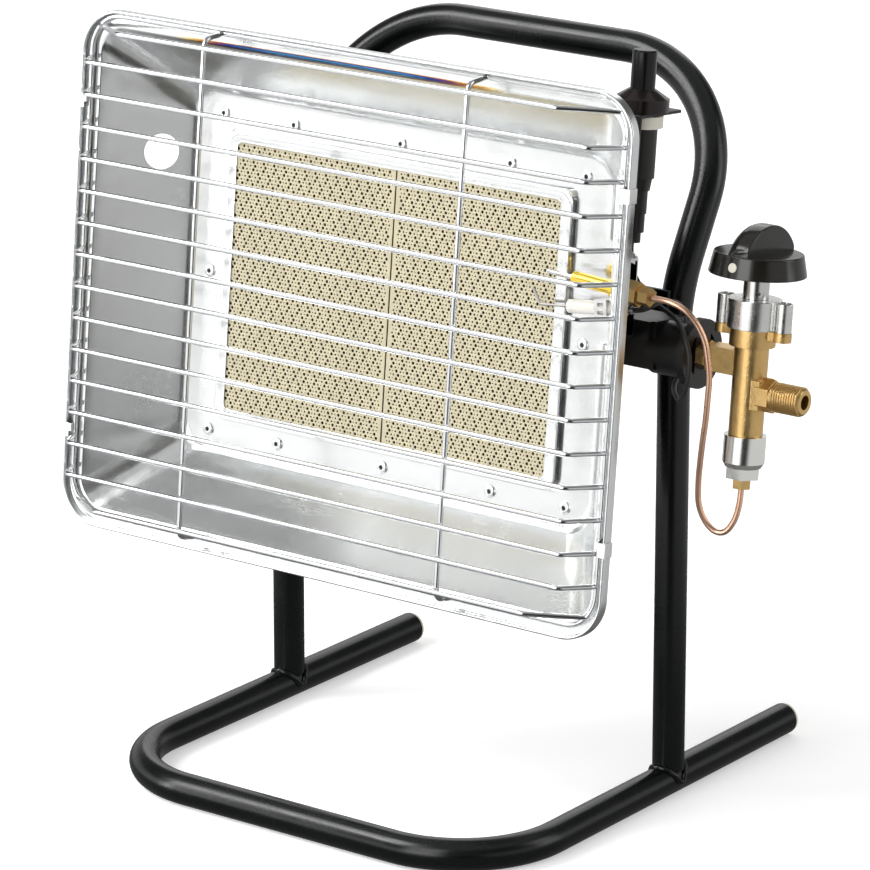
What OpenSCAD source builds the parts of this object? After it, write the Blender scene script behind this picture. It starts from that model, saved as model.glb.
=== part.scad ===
// Portable propane heater: a ceramic infrared head on a bent-tube stand.
// Millimetres. +Z is up, the heater faces -Y, and the gas valve is on its +X side.
// The origin is on the floor, midway between the legs.

/* [Stand] */
// Outside diameter of the frame tube
tube_d = 16; // [13:0.5:19]
// Wall of the frame tube
tube_wall = 1.5; // [1:0.1:2.5]
// Distance between the centre lines of the legs
leg_spacing = 237.6; // [230:1:260]
// Reach of the base in front of the legs
base_front = 153.4; // [130:1:180]
// Reach of the base behind the legs
base_back = 105.8; // [80:1:130]
// Centre-line radius of the base's front corners
base_corner_r = 55; // [35:1:75]
// Height at which the legs begin to bend back
bend_start = 234.5; // [228:0.5:242]
// Centre-line radius of the legs' backward bend
bend_r = 80; // [60:1:110]
// Lean of the hoop above the bend, in degrees
hoop_lean = 29.6; // [20:0.2:36]
// Straight length between the backward bend and the hoop's corner
hoop_side = 28; // [10:1:60]
// Centre-line radius of the hoop's top corners
hoop_corner_r = 69.3; // [45:1:90]
// Depth to which an end plug goes into the tube
plug_depth = 12; // [6:1:25]
// Thickness of an end plug's visible rim
plug_rim = 1.6; // [1:0.2:3]

/* [Crossbar] */
// Height of the crossbar's flat strip
bar_h = 14; // [12:0.5:20]
// Thickness of the crossbar
bar_t = 3; // [2:0.5:5]
// How far the crossbar runs past the legs' centre lines
bar_overhang = 1.8; // [0:0.2:6]
// Height of the crossbar's centre above the head's axis
bar_rise = 13.5; // [8:0.5:18]
// Distance between the two mounting bolts
bolt_spacing = 140; // [100:1:170]
// Diameter of a mounting bolt
bolt_d = 6; // [5:0.5:7]

/* [Head] */
// Backward tilt of the head, in degrees
head_tilt = 5.9; // [2:0.1:9]
// Height of the rim's centre above the floor
head_z = 250.7; // [244:0.5:260]
// Width of the reflector over its rim
rim_w = 327; // [310:1:345]
// Height of the reflector over its rim
rim_h = 258.8; // [250:0.2:275]
// Outer radius of the rim's corners
rim_r = 22; // [20:0.5:34]
// Depth of the rim's channel
lip_depth = 4.5; // [3.5:0.1:6]
// Width of the channel's flat ledge
ledge_w = 8; // [6.5:0.1:9.5]
// Thickness of the stainless sheet
sheet = 0.8; // [0.6:0.1:1.2]
// Depth of the reflector's floor behind the rim
floor_depth = 46.6; // [44:0.2:52]
// Width of the reflector's floor beside the burner's pocket
floor_side = 22.46; // [21:0.02:25]
// Width of the reflector's floor above and below the pocket
floor_end = 17.96; // [17:0.02:21]
// Radius of the floor's corners
floor_r = 16; // [10:0.5:20]
// Diameter of the lighting hole in the left wall
lighting_hole_d = 18; // [14:0.5:20]
// Depth of the lighting hole's centre behind the rim
lighting_hole_depth = 31.8; // [24:0.2:34]
// Height of the lighting hole above the head's axis
lighting_hole_z = 57.9; // [45:0.5:66]

/* [Sensor pocket] */
// Distance of the pocket's wall from the middle of the head
pocket_x = 140; // [138:0.2:142]
// Lowest point of the pocket
pocket_low = 7; // [5:0.5:9]
// Highest point of the pocket
pocket_high = 48; // [44:0.5:55]

/* [Burner] */
// Width of one ceramic plate
plate_w = 99.5; // [97:0.25:100]
// Height of a ceramic plate
plate_h = 139; // [136:0.5:140]
// Thickness of a ceramic plate
plate_t = 12; // [10:0.5:14]
// Width of the cement seam between the two plates
seam_w = 1; // [0.6:0.1:1.6]
// Thickness of the fibre strip round the plates
gasket_t = 2.5; // [1.5:0.1:3]
// How far the frame stands in front of the reflector's floor
frame_rise = 3.4; // [2:0.1:6]
// How far the burner frame laps over the plates at the sides
lap_side = 3; // [1:0.25:5]
// How far it laps over them above and below
lap_end = 2.4; // [1:0.1:4]
// Reach of the clamped flange past the pocket at the sides
flange_side = 15.46; // [14:0.02:16.5]
// Its reach above and below the pocket
flange_end = 12.96; // [12:0.02:14]
// Thickness of the housing's flange
flange_t = 3; // [2:0.5:5]
// Depth of the burner housing behind the frame
housing_depth = 40; // [36:0.5:46]
// Wall of the burner housing
housing_wall = 3; // [2:0.5:4]
// Length of the bosses that reach the crossbar
boss_l = 16.2; // [12:0.2:22]
// Diameter of those bosses
boss_d = 14; // [12:0.5:18]
// Width of the baffle in the chamber
baffle_w = 90; // [60:1:120]
// Height of the baffle
baffle_h = 60; // [40:1:90]
// Distance of the baffle behind the plates
baffle_gap = 8; // [5:0.5:12]
// Sideways place of the baffle's middle
baffle_x = -20; // [-30:1:20]

/* [Rivets] */
// Diameter of a rivet's domed head
rivet_head_d = 6.5; // [5:0.1:8]
// Height of a rivet's domed head
rivet_head_h = 1.3; // [0.8:0.1:2]
// Diameter of a rivet's shank
rivet_d = 3.2; // [2.4:0.1:4]
// Sideways place of the second and fourth rivet of a long row
rivet_step = 64.9; // [55:0.5:70]
// Distance of the corner rivets from the pocket's sides
rivet_corner_gap = 6.06; // [5:0.02:8]
// Distance of the two long rows from the pocket
rivet_row_gap = 7.76; // [6:0.02:9]
// Distance of the two rivets on the axis from the pocket
rivet_side_gap = 10.16; // [7:0.02:11]

/* [Guard] */
// Diameter of the guard's wire
wire_d = 3; // [2.4:0.1:3.6]
// Number of horizontal bars
bar_count = 16; // [12:2:18]
// Distance between the centre lines of neighbouring bars
bar_pitch = 15.85; // [14:0.05:16]
// How far the bars stand in front of the rim
guard_front = 14.5; // [13:0.5:26]
// Sideways run of a bar's bent end
bar_inset = 10; // [6:0.2:20]
// Sideways run of the end of the topmost and lowest bar
end_bar_inset = 25; // [14:0.5:26]
// Bend radius of the wire
wire_bend_r = 5; // [3:0.5:8]
// Distance of an upright from the middle
upright_x = 78; // [60:1:90]
// Run of an upright's bent end up or down
upright_inset = 2; // [1:0.5:8]
// How far the guard sits above the middle of the rim
guard_rise = 1.8; // [0:0.1:2]
// Width of a clip
clip_w = 7; // [5:0.5:12]
// Height of the clips above and below the axis
clip_z = 83; // [70:1:90]
// Thickness of a clip
clip_t = 0.8; // [0.6:0.1:1]
// Width of the hook inside the guard's wire
hook_w = 4; // [3:0.1:4.2]

/* [Mixing tube] */
// Depth of the mixing tube's axis behind the rim
mix_depth = 66; // [64:0.5:68]
// Height of the mixing tube's axis above the head's axis
mix_z = 2.4; // [0:0.2:4]
// Outer length of the square part
duct_l = 38; // [34:0.5:42]
// Height of the square part
duct_h = 23.1; // [21:0.1:26]
// Depth of the square part
duct_w = 24; // [22:0.2:26]
// Bore of the mixing tube
mix_bore_d = 18; // [14:0.5:19]
// Outer diameter of the bell
bell_d = 26.4; // [25:0.2:30]
// Length of the bell
bell_l = 20; // [16:0.5:24]
// Diameter of the bell's end plate
mouth_d = 33.4; // [31:0.2:38]
// Thickness of the bell's end plate
mouth_t = 4.2; // [3:0.2:5]
// Width of the bridge that holds the injector
bridge_w = 12; // [11:0.5:14]
// Height of the flange at the burner housing
port_h = 40; // [38:0.5:44]
// Thickness of that flange
port_t = 3; // [2:0.5:4]
// Distance between the flange's two screws
port_pitch = 33; // [31:0.5:35]
// Height of the rib along the top of the square part
rib_h = 9; // [6:0.5:11]

/* [Gas valve] */
// Diameter of the valve body
valve_d = 16.2; // [16:0.1:18]
// Distance of the valve's axis behind the mouth of the mixing tube
valve_reach = 26.86; // [24:0.02:32]
// Length of the body below the outlet arm
valve_down = 33.8; // [32:0.2:38]
// Height of the joint between body and bonnet above the arm
bonnet_base = 17.2; // [16:0.2:19]
// Height of the bonnet
bonnet_h = 13.8; // [12.5:0.1:16]
// Diameter of the bonnet
bonnet_d = 25.2; // [23:0.2:26]
// Distance of a bonnet screw from the axis
ear_x = 16; // [15:0.2:18]
// Diameter of an ear
ear_d = 8.2; // [8:0.1:9]
// Side of the square outlet arm
arm_side = 12; // [11:0.5:13]
// Height of the inlet's axis below the arm
inlet_drop = 13.4; // [13:0.1:15]
// Major diameter of the inlet thread
inlet_d = 13.16; // [12:0.02:14]
// Length of the inlet thread
inlet_l = 16.5; // [12:0.5:20]
// Size across the flats of the inlet's hexagon
inlet_hex = 14; // [13:0.5:16]
// Bore of the inlet
inlet_bore_d = 6.8; // [5:0.2:8]
// Diameter of the spindle
spindle_d = 12.2; // [11:0.1:12.6]
// Diameter of the turning plug
cock_d = 10.8; // [9:0.1:11]
// Travel of the knob when it is pushed
push_travel = 4; // [3:0.1:4.2]

/* [Knob] */
// Diameter at the foot of the knob's skirt
knob_d = 46.4; // [42:0.2:52]
// Diameter at the top of the skirt
knob_top_d = 42.8; // [38:0.2:46]
// Height of the skirt
skirt_h = 10.3; // [9:0.1:13]
// Height of the grip above the skirt
grip_h = 13.3; // [10:0.1:16]
// Thickness of the grip
grip_t = 13; // [10:0.5:16]
// Gap between the bonnet and the knob
knob_gap = 11.6; // [10:0.1:14]
// Wall of the knob
knob_wall = 2; // [1.6:0.1:2.6]
// Diameter of the white mark
mark_d = 4.4; // [3:0.1:5]
// Thickness of the white mark
mark_h = 1; // [0.6:0.1:1.2]

/* [Flame guard] */
// Diameter of the magnet's housing
magnet_d = 19.9; // [19:0.1:22]
// Length of the magnet's housing
magnet_l = 15.4; // [13:0.2:18]
// Diameter of the copper lead
lead_d = 2.9; // [2.2:0.1:3.2]
// Depth of the thermocouple behind the rim
sensor_depth = 32; // [31.5:0.1:33]
// Height of the thermocouple at the pocket's wall
sensor_z = 32.8; // [32:0.2:35]
// Slope of the thermocouple down towards the outside, in degrees
sensor_slope = 3.4; // [0:0.2:5]
// Diameter of the thermocouple's brass sleeve
sleeve_d = 6.8; // [5:0.1:8]
// Length of the sleeve inside the reflector
sleeve_l = 25; // [18:0.5:28]
// How far the tip stands out of the sleeve
tip_l = 15; // [10:0.5:18]

/* [Ignition] */
// Depth of the electrode behind the rim
electrode_depth = 37; // [36:0.2:38]
// Height of the electrode at the pocket's wall
electrode_z = 22.6; // [20:0.2:23]
// Slope of the electrode up towards the outside, in degrees
electrode_slope = 6; // [2:0.5:8]
// Diameter of the ceramic insulator
insulator_d = 6.6; // [5:0.1:7]
// Sideways place of the igniter
igniter_x = 123.2; // [121:0.2:125]
// Depth of the igniter behind the rim
igniter_depth = 66; // [66:0.5:72]
// Height of the bracket's shelf above the head's axis
shelf_z = 110; // [104:0.5:114]
// Thickness of the igniter's bracket
bracket_t = 1.6; // [1.2:0.1:2]
// Diameter of the push button
button_d = 11.7; // [10:0.1:12.4]
// Height of the button above the hood
button_h = 18.5; // [12:0.5:22]
// Travel of the push button
button_travel = 6; // [4:0.5:7]
// Diameter of the igniter's hood
hood_d = 26.2; // [24:0.2:28]
// Height of the hood
hood_h = 10.3; // [9:0.1:13]
// Diameter of the igniter's body
igniter_d = 16.8; // [16:0.1:18]
// Diameter of the ignition lead
spark_lead_d = 2.4; // [2:0.1:2.8]
// Length of the insulator inside the reflector
insulator_l = 30; // [24:0.5:32]
// Length of the bare wire beyond the insulator
wire_l = 17; // [12:0.5:20]
// Diameter of the electrode's wire
electrode_d = 1.4; // [1:0.1:1.8]
// Ends of the steps of the igniter's body below the shelf
igniter_steps = [30, 36, 47, 56, 61];
// Overhang of the bracket's shelf past the igniter's axis, outwards and back
shelf_reach = [9.8, 19.7];

/* [Clearances] */
// Radial play of a turning or sliding fit
fit_play = 0.06; // [0.03:0.01:0.1]
// Play between parts that are fixed together
seat_gap = 0.04; // [0.02:0.01:0.1]
// Root gap of a weld between two tubes
weld_gap = 0.3; // [0.2:0.05:0.6]

/* [Hidden] */

$fn = 48;
over = 1;
hairline = 0.02;

// Stand
tube_r = tube_d / 2;
leg_x = leg_spacing / 2;

// Burner pocket, in the head's frame: X sideways, Y back from the rim plane, Z up
pack_w = 2 * plate_w + seam_w;
pocket_w = pack_w + 2 * gasket_t + 2 * seat_gap;
pocket_h = plate_h + 2 * gasket_t + 2 * seat_gap;
window_w = pack_w - 2 * lap_side;
window_h = plate_h - 2 * lap_end;
flange_w = pocket_w + 2 * flange_side;
flange_h = pocket_h + 2 * flange_end;
rivet_corner_x = pocket_w / 2 + rivet_corner_gap;
rivet_row_z = pocket_h / 2 + rivet_row_gap;
rivet_side_x = pocket_w / 2 + rivet_side_gap;

// Reflector
floor_w = pocket_w + 2 * floor_side;
floor_h = pocket_h + 2 * floor_end;
mouth_w = rim_w - 2 * (sheet + ledge_w);
mouth_h = rim_h - 2 * (sheet + ledge_w);
mouth_r = rim_r - sheet - ledge_w;
wall_angle = atan(((mouth_w - floor_w) / 2) / (floor_depth - lip_depth));
wall_side = sheet / cos(wall_angle);
function wall_x(depth) = mouth_w / 2 - (depth - lip_depth) * tan(wall_angle);

// Burner stack, from the front to the back
frame_front = floor_depth - frame_rise;
plate_front = frame_front + sheet;
plate_back = plate_front + plate_t;
frame_flange = floor_depth + sheet;
housing_front = frame_flange + sheet;
housing_back = housing_front + housing_depth;
bar_front = housing_back + boss_l;
bar_back = bar_front + bar_t;
chamber_w = pack_w - 7;
chamber_h = plate_h - 6;
port_x = pocket_w / 2 + housing_wall + 1.4;

// The head stands where its crossbar meets the fronts of the legs
function lean_at(z) = z <= bend_start ? 0 : asin(min(sin(hoop_lean), (z - bend_start) / bend_r));
function leg_front(z) = bend_r * (1 - cos(lean_at(z))) - tube_r / cos(lean_at(z));
bar_low = bar_rise - bar_h / 2;
bar_low_z = head_z + bar_low * cos(head_tilt) - bar_back * sin(head_tilt);
head_y = leg_front(bar_low_z) - seat_gap - bar_back * cos(head_tilt) - bar_low * sin(head_tilt);

// Guard
wire_r = wire_d / 2;
guard_seat = lip_depth - wire_r - seat_gap;
guard_w = rim_w - 2 * sheet - ledge_w;
guard_h = rim_h - 2 * sheet - ledge_w;
guard_r = rim_r - sheet - ledge_w / 2;
guard_corner_z = guard_h / 2 - guard_r;
function bar_z(i) = (i - (bar_count - 1) / 2) * bar_pitch;
function guard_edge(z) = abs(z) <= guard_corner_z ? guard_w / 2
    : guard_w / 2 - guard_r + sqrt(pow(guard_r, 2) - pow(abs(z) - guard_corner_z, 2));

// Mixing tube and valve
duct_x = port_x + port_t;
duct_end = duct_x + duct_l;
mouth_back = duct_end + bell_l - 5;
mouth_x = mouth_back + mouth_t;
valve_x = mouth_x + valve_reach;
nut_l = 5;
arm_x = mouth_x + nut_l + 2 * seat_gap;
stem_d = 9.8;
port_z = 4.35;
cock_bottom = -5;
cock_top = 10;
seat_z = cock_bottom - 3.2;
chamber_d = 13;
shoulder_z = bonnet_base + push_travel + 0.3;
bonnet_top = bonnet_base + bonnet_h;
knob_z = bonnet_top + knob_gap;
magnet_top = seat_z - 12.1;
magnet_z = -valve_down - magnet_l;
union_l = 5.2;
nut_z = magnet_z - union_l - seat_gap;
cap_nut_l = 5.1;

// Igniter
button_foot = shelf_z - 10;
spring_foot = button_foot - button_travel - 8;

// Route of the copper lead, in the head's frame: sideways, back, up
capillary_route = [
    [156, 32, 32], [160, 32, 31.7], [168, 33.5, 31], [175, 36, 28], [180, 39, 22],
    [183.5, 41.5, 14], [185, 43, 5], [185.5, 44.5, -4], [184.5, 46, -14],
    [183, 48, -24], [181, 50, -34], [178.5, 53, -46], [176.5, 56, -57],
    [176, 58.5, -67], [178.5, 61, -75], [183, 63, -79.5], [188, 64.5, -79],
    [191.8, 65.6, -73], [193.6, 66, -65], [194, 66, -57], [194, 66, -54]
];
// Route of the ignition lead, from the igniter's foot to the electrode
spark_route = [
    [123.2, 66, 51], [123.2, 66, 45], [124, 67, 36], [129, 69, 27], [138, 68, 21.5],
    [149, 63, 19.2], [160, 55, 17.5], [168.5, 47.4, 13], [172.6, 45.9, 5],
    [173, 46, -4], [170.5, 48, -13], [165, 53, -18.5], [157, 61, -18.5],
    [149.5, 71, -16.5], [145.5, 80.5, -10.5], [144, 84, 2], [144.5, 83.5, 13],
    [146, 76.5, 21], [148, 65, 24.5], [150.5, 53, 26], [151.8, 44, 25.4],
    [150.6, 38.6, 24.2], [148.4, 37.2, 23.6], [146.6, 37, 23.3]
];

// ---------------------------------------------------------------- frames
module on_head() {
    translate([0, head_y, head_z]) rotate([-head_tilt, 0, 0]) children();
}

// Turns a flat outline so that its extrusion runs back from depth d
module from_depth(d) {
    translate([0, d, 0]) rotate([-90, 0, 0]) children();
}

module on_valve() {
    on_head() translate([valve_x, mix_depth, mix_z]) children();
}

// Local +Z runs out of the pocket's wall along the thermocouple
module on_sensor() {
    on_head() translate([pocket_x, sensor_depth, sensor_z])
        rotate([0, 90 + sensor_slope, 0]) children();
}

module on_electrode() {
    on_head() translate([pocket_x, electrode_depth, electrode_z])
        rotate([0, 90 - electrode_slope, 0]) children();
}

module on_igniter() {
    on_head() translate([igniter_x, igniter_depth, 0]) children();
}

module both_sides() {
    children();
    mirror([1, 0, 0]) children();
}

// ---------------------------------------------------------------- shapes
module rounded(w, h, r) {
    square([w - 2 * r, h], center = true);
    square([w, h - 2 * r], center = true);
    for (x = [-1, 1], z = [-1, 1])
        translate([x * (w / 2 - r), z * (h / 2 - r)]) circle(r);
}

// A sheet with a rounded outline and a rounded opening, front face at depth d
module sheet_ring(d, t, w, h, r, hole_w, hole_h, hole_r) {
    from_depth(d) linear_extrude(t) difference() {
        rounded(w, h, r);
        rounded(hole_w, hole_h, hole_r);
    }
}

module block(d, depth, w, h, r) {
    from_depth(d) linear_extrude(depth) rounded(w, h, r);
}

// Four corner discs of a rounded outline from depth d on, for the flared walls
module outline_discs(d, w, h, r) {
    for (x = [-1, 1], z = [-1, 1])
        translate([x * (w / 2 - r), 0, z * (h / 2 - r)])
            from_depth(d) cylinder(h = sheet, r = r, $fn = 24);
}

// A flared block from the outline at depth d0 to the one that ends at depth d1
module flare(d0, w0, h0, r0, d1, w1, h1, r1) {
    hull() {
        outline_discs(d0, w0, h0, r0);
        outline_discs(d1 - sheet, w1, h1, r1);
    }
}

module hexagon(across, h) {
    cylinder(h = h, r = across / 2 / cos(30), $fn = 6);
}

module bored(length, d, hole_d) {
    difference() {
        cylinder(h = length, d = d);
        translate([0, 0, -over]) cylinder(h = length + 2 * over, d = hole_d);
    }
}

// A bent bar or tube is built from runs and bends that start at the origin and head +Z,
// and a bend turns towards +X. Each run ends a hair short of its bend, and a dowel
// inside the two ties them into one piece. wall = 0 makes the bar solid.
module section(r, wall) {
    difference() {
        circle(r);
        if (wall > 0) circle(r - wall);
    }
}

module run(length, r, wall = 0) {
    translate([0, 0, hairline]) linear_extrude(length - 2 * hairline) section(r, wall);
}

module dowel(r, wall) {
    translate([0, 0, -0.4]) linear_extrude(0.8)
        section(r - 0.3, wall > 0 ? wall - 0.6 : 0);
}

module bend(radius, angle, r, wall = 0) {
    translate([radius, 0, 0]) rotate([90, 0, 0]) rotate([0, 0, 180 - angle])
        rotate_extrude(angle = angle) translate([radius, 0]) section(r, wall);
    dowel(r, wall);
    past_bend(radius, angle) dowel(r, wall);
}

module past_bend(radius, angle) {
    translate([radius * (1 - cos(angle)), 0, radius * sin(angle)])
        rotate([0, angle, 0]) children();
}

module rod_between(a, b, r) {
    v = b - a;
    translate(a) rotate([0, acos(v[2] / norm(v)), atan2(v[1], v[0])])
        cylinder(h = norm(v), r = r, $fn = 24);
}

// ---------------------------------------------------------------- swept leads
function unit(v) = v / norm(v);
function heading(p, i) = unit(p[min(i + 1, len(p) - 1)] - p[max(i - 1, 0)]);
function across(v, t) = unit(v - (v * t) * t);
function carried(p, i, n) = i == len(p) ? [] :
    let (m = across(n, heading(p, i))) concat([m], carried(p, i + 1, m));
function between(a, b, c, d, t) = 0.5 * (2 * b + (c - a) * t
    + (2 * a - 5 * b + 4 * c - d) * t * t + (3 * b - a - 3 * c + d) * t * t * t);
function smooth(p, steps) = concat(
    [for (i = [0:len(p) - 2], k = [0:steps - 1])
        between(p[max(i - 1, 0)], p[i], p[i + 1], p[min(i + 2, len(p) - 1)], k / steps)],
    [p[len(p) - 1]]);

module swept(p, r, sides) {
    n = carried(p, 0, [0.31, 0.52, 0.8]);
    points = [for (i = [0:len(p) - 1], k = [0:sides - 1])
        let (t = heading(p, i), a = 360 * k / sides)
            p[i] + r * (cos(a) * n[i] + sin(a) * cross(t, n[i]))];
    last = (len(p) - 1) * sides;
    polyhedron(points, concat(
        [[for (k = [0:sides - 1]) k]],
        [[for (k = [0:sides - 1]) last + sides - 1 - k]],
        [for (i = [0:len(p) - 2], k = [0:sides - 1])
            let (a = i * sides, b = (k + 1) % sides)
                [a + k, a + sides + k, a + sides + b, a + b]]));
}

module coil_spring(radius, wire, length, turns) {
    steps = 12;
    rise = length - wire;
    swept([for (i = [0:turns * steps])
        let (a = 360 * i / steps)
            [radius * cos(a), radius * sin(a), wire / 2 + rise * i / (turns * steps)]],
        wire / 2, 6);
}

// ---------------------------------------------------------------- stand
module base_half(with_middle) {
    translate([leg_x, base_back, tube_r]) rotate([90, 0, 0]) {
        straight = base_back + base_front - base_corner_r;
        run(straight, tube_r, tube_wall);
        translate([0, 0, straight]) rotate([0, 0, 180]) {
            bend(base_corner_r, 90, tube_r, tube_wall);
            if (with_middle) past_bend(base_corner_r, 90)
                run(leg_spacing - 2 * base_corner_r, tube_r, tube_wall);
        }
    }
}

module base_tube() {
    color([0.09, 0.09, 0.1]) {
        base_half(true);
        mirror([1, 0, 0]) base_half(false);
    }
}

module leg(with_middle) {
    translate([leg_x, 0, tube_r]) {
        lower = bend_start - tube_r;
        run(lower, tube_r, tube_wall);
        translate([0, 0, lower]) rotate([0, 0, 90]) {
            bend(bend_r, hoop_lean, tube_r, tube_wall);
            past_bend(bend_r, hoop_lean) {
                run(hoop_side, tube_r, tube_wall);
                translate([0, 0, hoop_side]) rotate([0, 0, 90]) {
                    bend(hoop_corner_r, 90, tube_r, tube_wall);
                    if (with_middle) past_bend(hoop_corner_r, 90)
                        run(leg_spacing - 2 * hoop_corner_r, tube_r, tube_wall);
                }
            }
        }
    }
}

module hoop_tube() {
    color([0.09, 0.09, 0.1]) difference() {
        union() {
            leg(true);
            mirror([1, 0, 0]) leg(false);
        }
        both_sides() translate([leg_x, -tube_d, tube_r])
            rotate([-90, 0, 0]) cylinder(h = 2 * tube_d, r = tube_r + weld_gap);
    }
}

module tube_end_plugs() {
    color([0.9, 0.88, 0.8]) both_sides()
        translate([leg_x, base_back, tube_r]) rotate([-90, 0, 0]) {
            translate([0, 0, seat_gap]) cylinder(h = plug_rim, r = tube_r - 0.3);
            translate([0, 0, -plug_depth])
                cylinder(h = plug_depth + seat_gap + hairline, r = tube_r - tube_wall - seat_gap);
        }
}

module crossbar() {
    color([0.09, 0.09, 0.1]) on_head() difference() {
        translate([-leg_x - bar_overhang, bar_front, bar_low])
            cube([leg_spacing + 2 * bar_overhang, bar_t, bar_h]);
        both_sides() translate([bolt_spacing / 2, 0, bar_rise])
            from_depth(bar_front - over) cylinder(h = bar_t + 2 * over, d = bolt_d + 0.6);
    }
}

module mounting_bolts() {
    head_l = bolt_d * 0.65;
    washer_t = 1.2;
    color([0.75, 0.76, 0.78]) on_head() both_sides()
        translate([bolt_spacing / 2, 0, bar_rise]) {
            from_depth(bar_back) cylinder(h = washer_t, d = bolt_d * 2);
            from_depth(bar_back + washer_t - hairline) hexagon(bolt_d * 1.67, head_l);
            from_depth(bar_front - boss_l + 3) cylinder(h = bar_t + boss_l - 2.5, d = bolt_d);
        }
}

// ---------------------------------------------------------------- reflector
module sensor_pocket(grow, front, back) {
    translate([floor_w / 4, front, pocket_low - grow])
        cube([pocket_x + grow - floor_w / 4, back - front, pocket_high - pocket_low + 2 * grow]);
}

module rivet_places() {
    for (z = [-rivet_row_z, rivet_row_z],
         x = [-rivet_corner_x, -rivet_step, 0, rivet_step, rivet_corner_x])
        translate([x, 0, z]) children();
    for (x = [-rivet_side_x, rivet_side_x]) translate([x, 0, 0]) children();
}

module reflector() {
    color([0.86, 0.87, 0.88]) on_head() difference() {
        union() {
            sheet_ring(0, lip_depth + sheet, rim_w, rim_h, rim_r,
                rim_w - 2 * sheet, rim_h - 2 * sheet, rim_r - sheet);
            sheet_ring(lip_depth, sheet, rim_w - sheet, rim_h - sheet, rim_r - sheet / 2,
                mouth_w - 10, mouth_h - 10, mouth_r);
            flare(lip_depth, mouth_w + 2 * wall_side, mouth_h + 2 * wall_side, mouth_r + wall_side,
                floor_depth + sheet, floor_w + 2 * wall_side - 1, floor_h + 2 * wall_side - 1, floor_r);
            sensor_pocket(sheet, floor_depth / 2, floor_depth + sheet);
        }
        flare(lip_depth - sheet, mouth_w, mouth_h, mouth_r, floor_depth, floor_w, floor_h, floor_r);
        sensor_pocket(0, lip_depth + over, floor_depth);
        block(floor_depth - over, sheet + 2 * over, pocket_w + 2 * sheet + 1,
            pocket_h + 2 * sheet + 1, 3);
        rivet_places() from_depth(floor_depth - over)
            cylinder(h = 3 * over, d = rivet_d + 2 * fit_play);
        translate([-wall_x(lighting_hole_depth), lighting_hole_depth, lighting_hole_z])
            rotate([0, 0, -wall_angle]) rotate([0, -90, 0])
                cylinder(h = 12, d = lighting_hole_d, center = true);
        translate([pocket_x, sensor_depth, sensor_z]) rotate([0, 90 + sensor_slope, 0])
            cylinder(h = 6, d = sleeve_d + 0.6, center = true);
        translate([pocket_x, electrode_depth, electrode_z]) rotate([0, 90 - electrode_slope, 0])
            cylinder(h = 6, d = insulator_d + 0.8, center = true);
    }
}

// ---------------------------------------------------------------- burner
module burner_frame() {
    outer_w = pocket_w + 2 * sheet;
    outer_h = pocket_h + 2 * sheet;
    color([0.88, 0.89, 0.9]) on_head() difference() {
        union() {
            sheet_ring(frame_flange, sheet, flange_w, flange_h, 6, pocket_w, pocket_h, 2);
            sheet_ring(frame_front, frame_flange + sheet - frame_front, outer_w, outer_h, 2.8,
                pocket_w, pocket_h, 2);
            sheet_ring(frame_front, sheet, outer_w, outer_h, 2.8, window_w, window_h, 3);
        }
        rivet_places() from_depth(frame_flange - over)
            cylinder(h = 3 * over, d = rivet_d + 2 * fit_play);
    }
}

module ceramic_plate() {
    translate([(plate_w + seam_w) / 2, 0, 0]) block(plate_front, plate_t, plate_w, plate_h, 1.5);
}

module ceramic_plate_right() {
    color([0.88, 0.82, 0.68]) on_head() ceramic_plate();
}

module ceramic_plate_left() {
    color([0.88, 0.82, 0.68]) on_head() mirror([1, 0, 0]) ceramic_plate();
}

module plate_gasket() {
    strip = pack_w + 2 * seat_gap;
    color([0.93, 0.92, 0.88]) on_head() {
        sheet_ring(plate_front + seat_gap, plate_t - 2 * seat_gap,
            strip + 2 * gasket_t - 2 * seat_gap, plate_h + 2 * gasket_t, 1.9,
            strip, plate_h + 2 * seat_gap, 1.5);
        translate([-seam_w / 2 + seat_gap, plate_front + 1.2, -plate_h / 2 - 2 * seat_gap])
            cube([seam_w - 2 * seat_gap, plate_t - 1.3, plate_h + 4 * seat_gap]);
    }
}

module housing_shell() {
    block(housing_front, flange_t, flange_w, flange_h, 6);
    block(housing_front, plate_back - housing_front + housing_wall + 1, pocket_w + 2 * housing_wall,
        pocket_h + 2 * housing_wall, 8);
    block(plate_back, housing_back - plate_back, chamber_w + 2 * housing_wall + 4,
        chamber_h + 2 * housing_wall + 3, 12);
    both_sides() translate([bolt_spacing / 2, 0, bar_rise])
        from_depth(housing_back - over) cylinder(h = boss_l + over, d = boss_d);
    translate([chamber_w / 2 + housing_wall, mix_depth - duct_w / 2 - 1, port_z - port_h / 2])
        cube([port_x - chamber_w / 2 - housing_wall, duct_w + 2, port_h]);
}

module burner_housing() {
    color([0.13, 0.12, 0.12]) on_head() difference() {
        housing_shell();
        block(housing_front - over, plate_back - housing_front + over, pocket_w, pocket_h, 2);
        block(plate_back - over, housing_back - plate_back - housing_wall + over,
            chamber_w, chamber_h, 8);
        rivet_places() from_depth(housing_front - over)
            cylinder(h = flange_t + 2 * over, d = rivet_d + 2 * fit_play);
        both_sides() translate([bolt_spacing / 2, 0, bar_rise])
            from_depth(bar_front - boss_l + 2) cylinder(h = boss_l, d = bolt_d + 2 * seat_gap);
        translate([chamber_w / 2 - over, mix_depth, mix_z]) rotate([0, 90, 0])
            cylinder(h = port_x - chamber_w / 2 + 2 * over, d = mix_bore_d + 4);
        mixing_screw_places() translate([0, 0, -8]) cylinder(h = 9, d = 3.5);
    }
}

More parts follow.
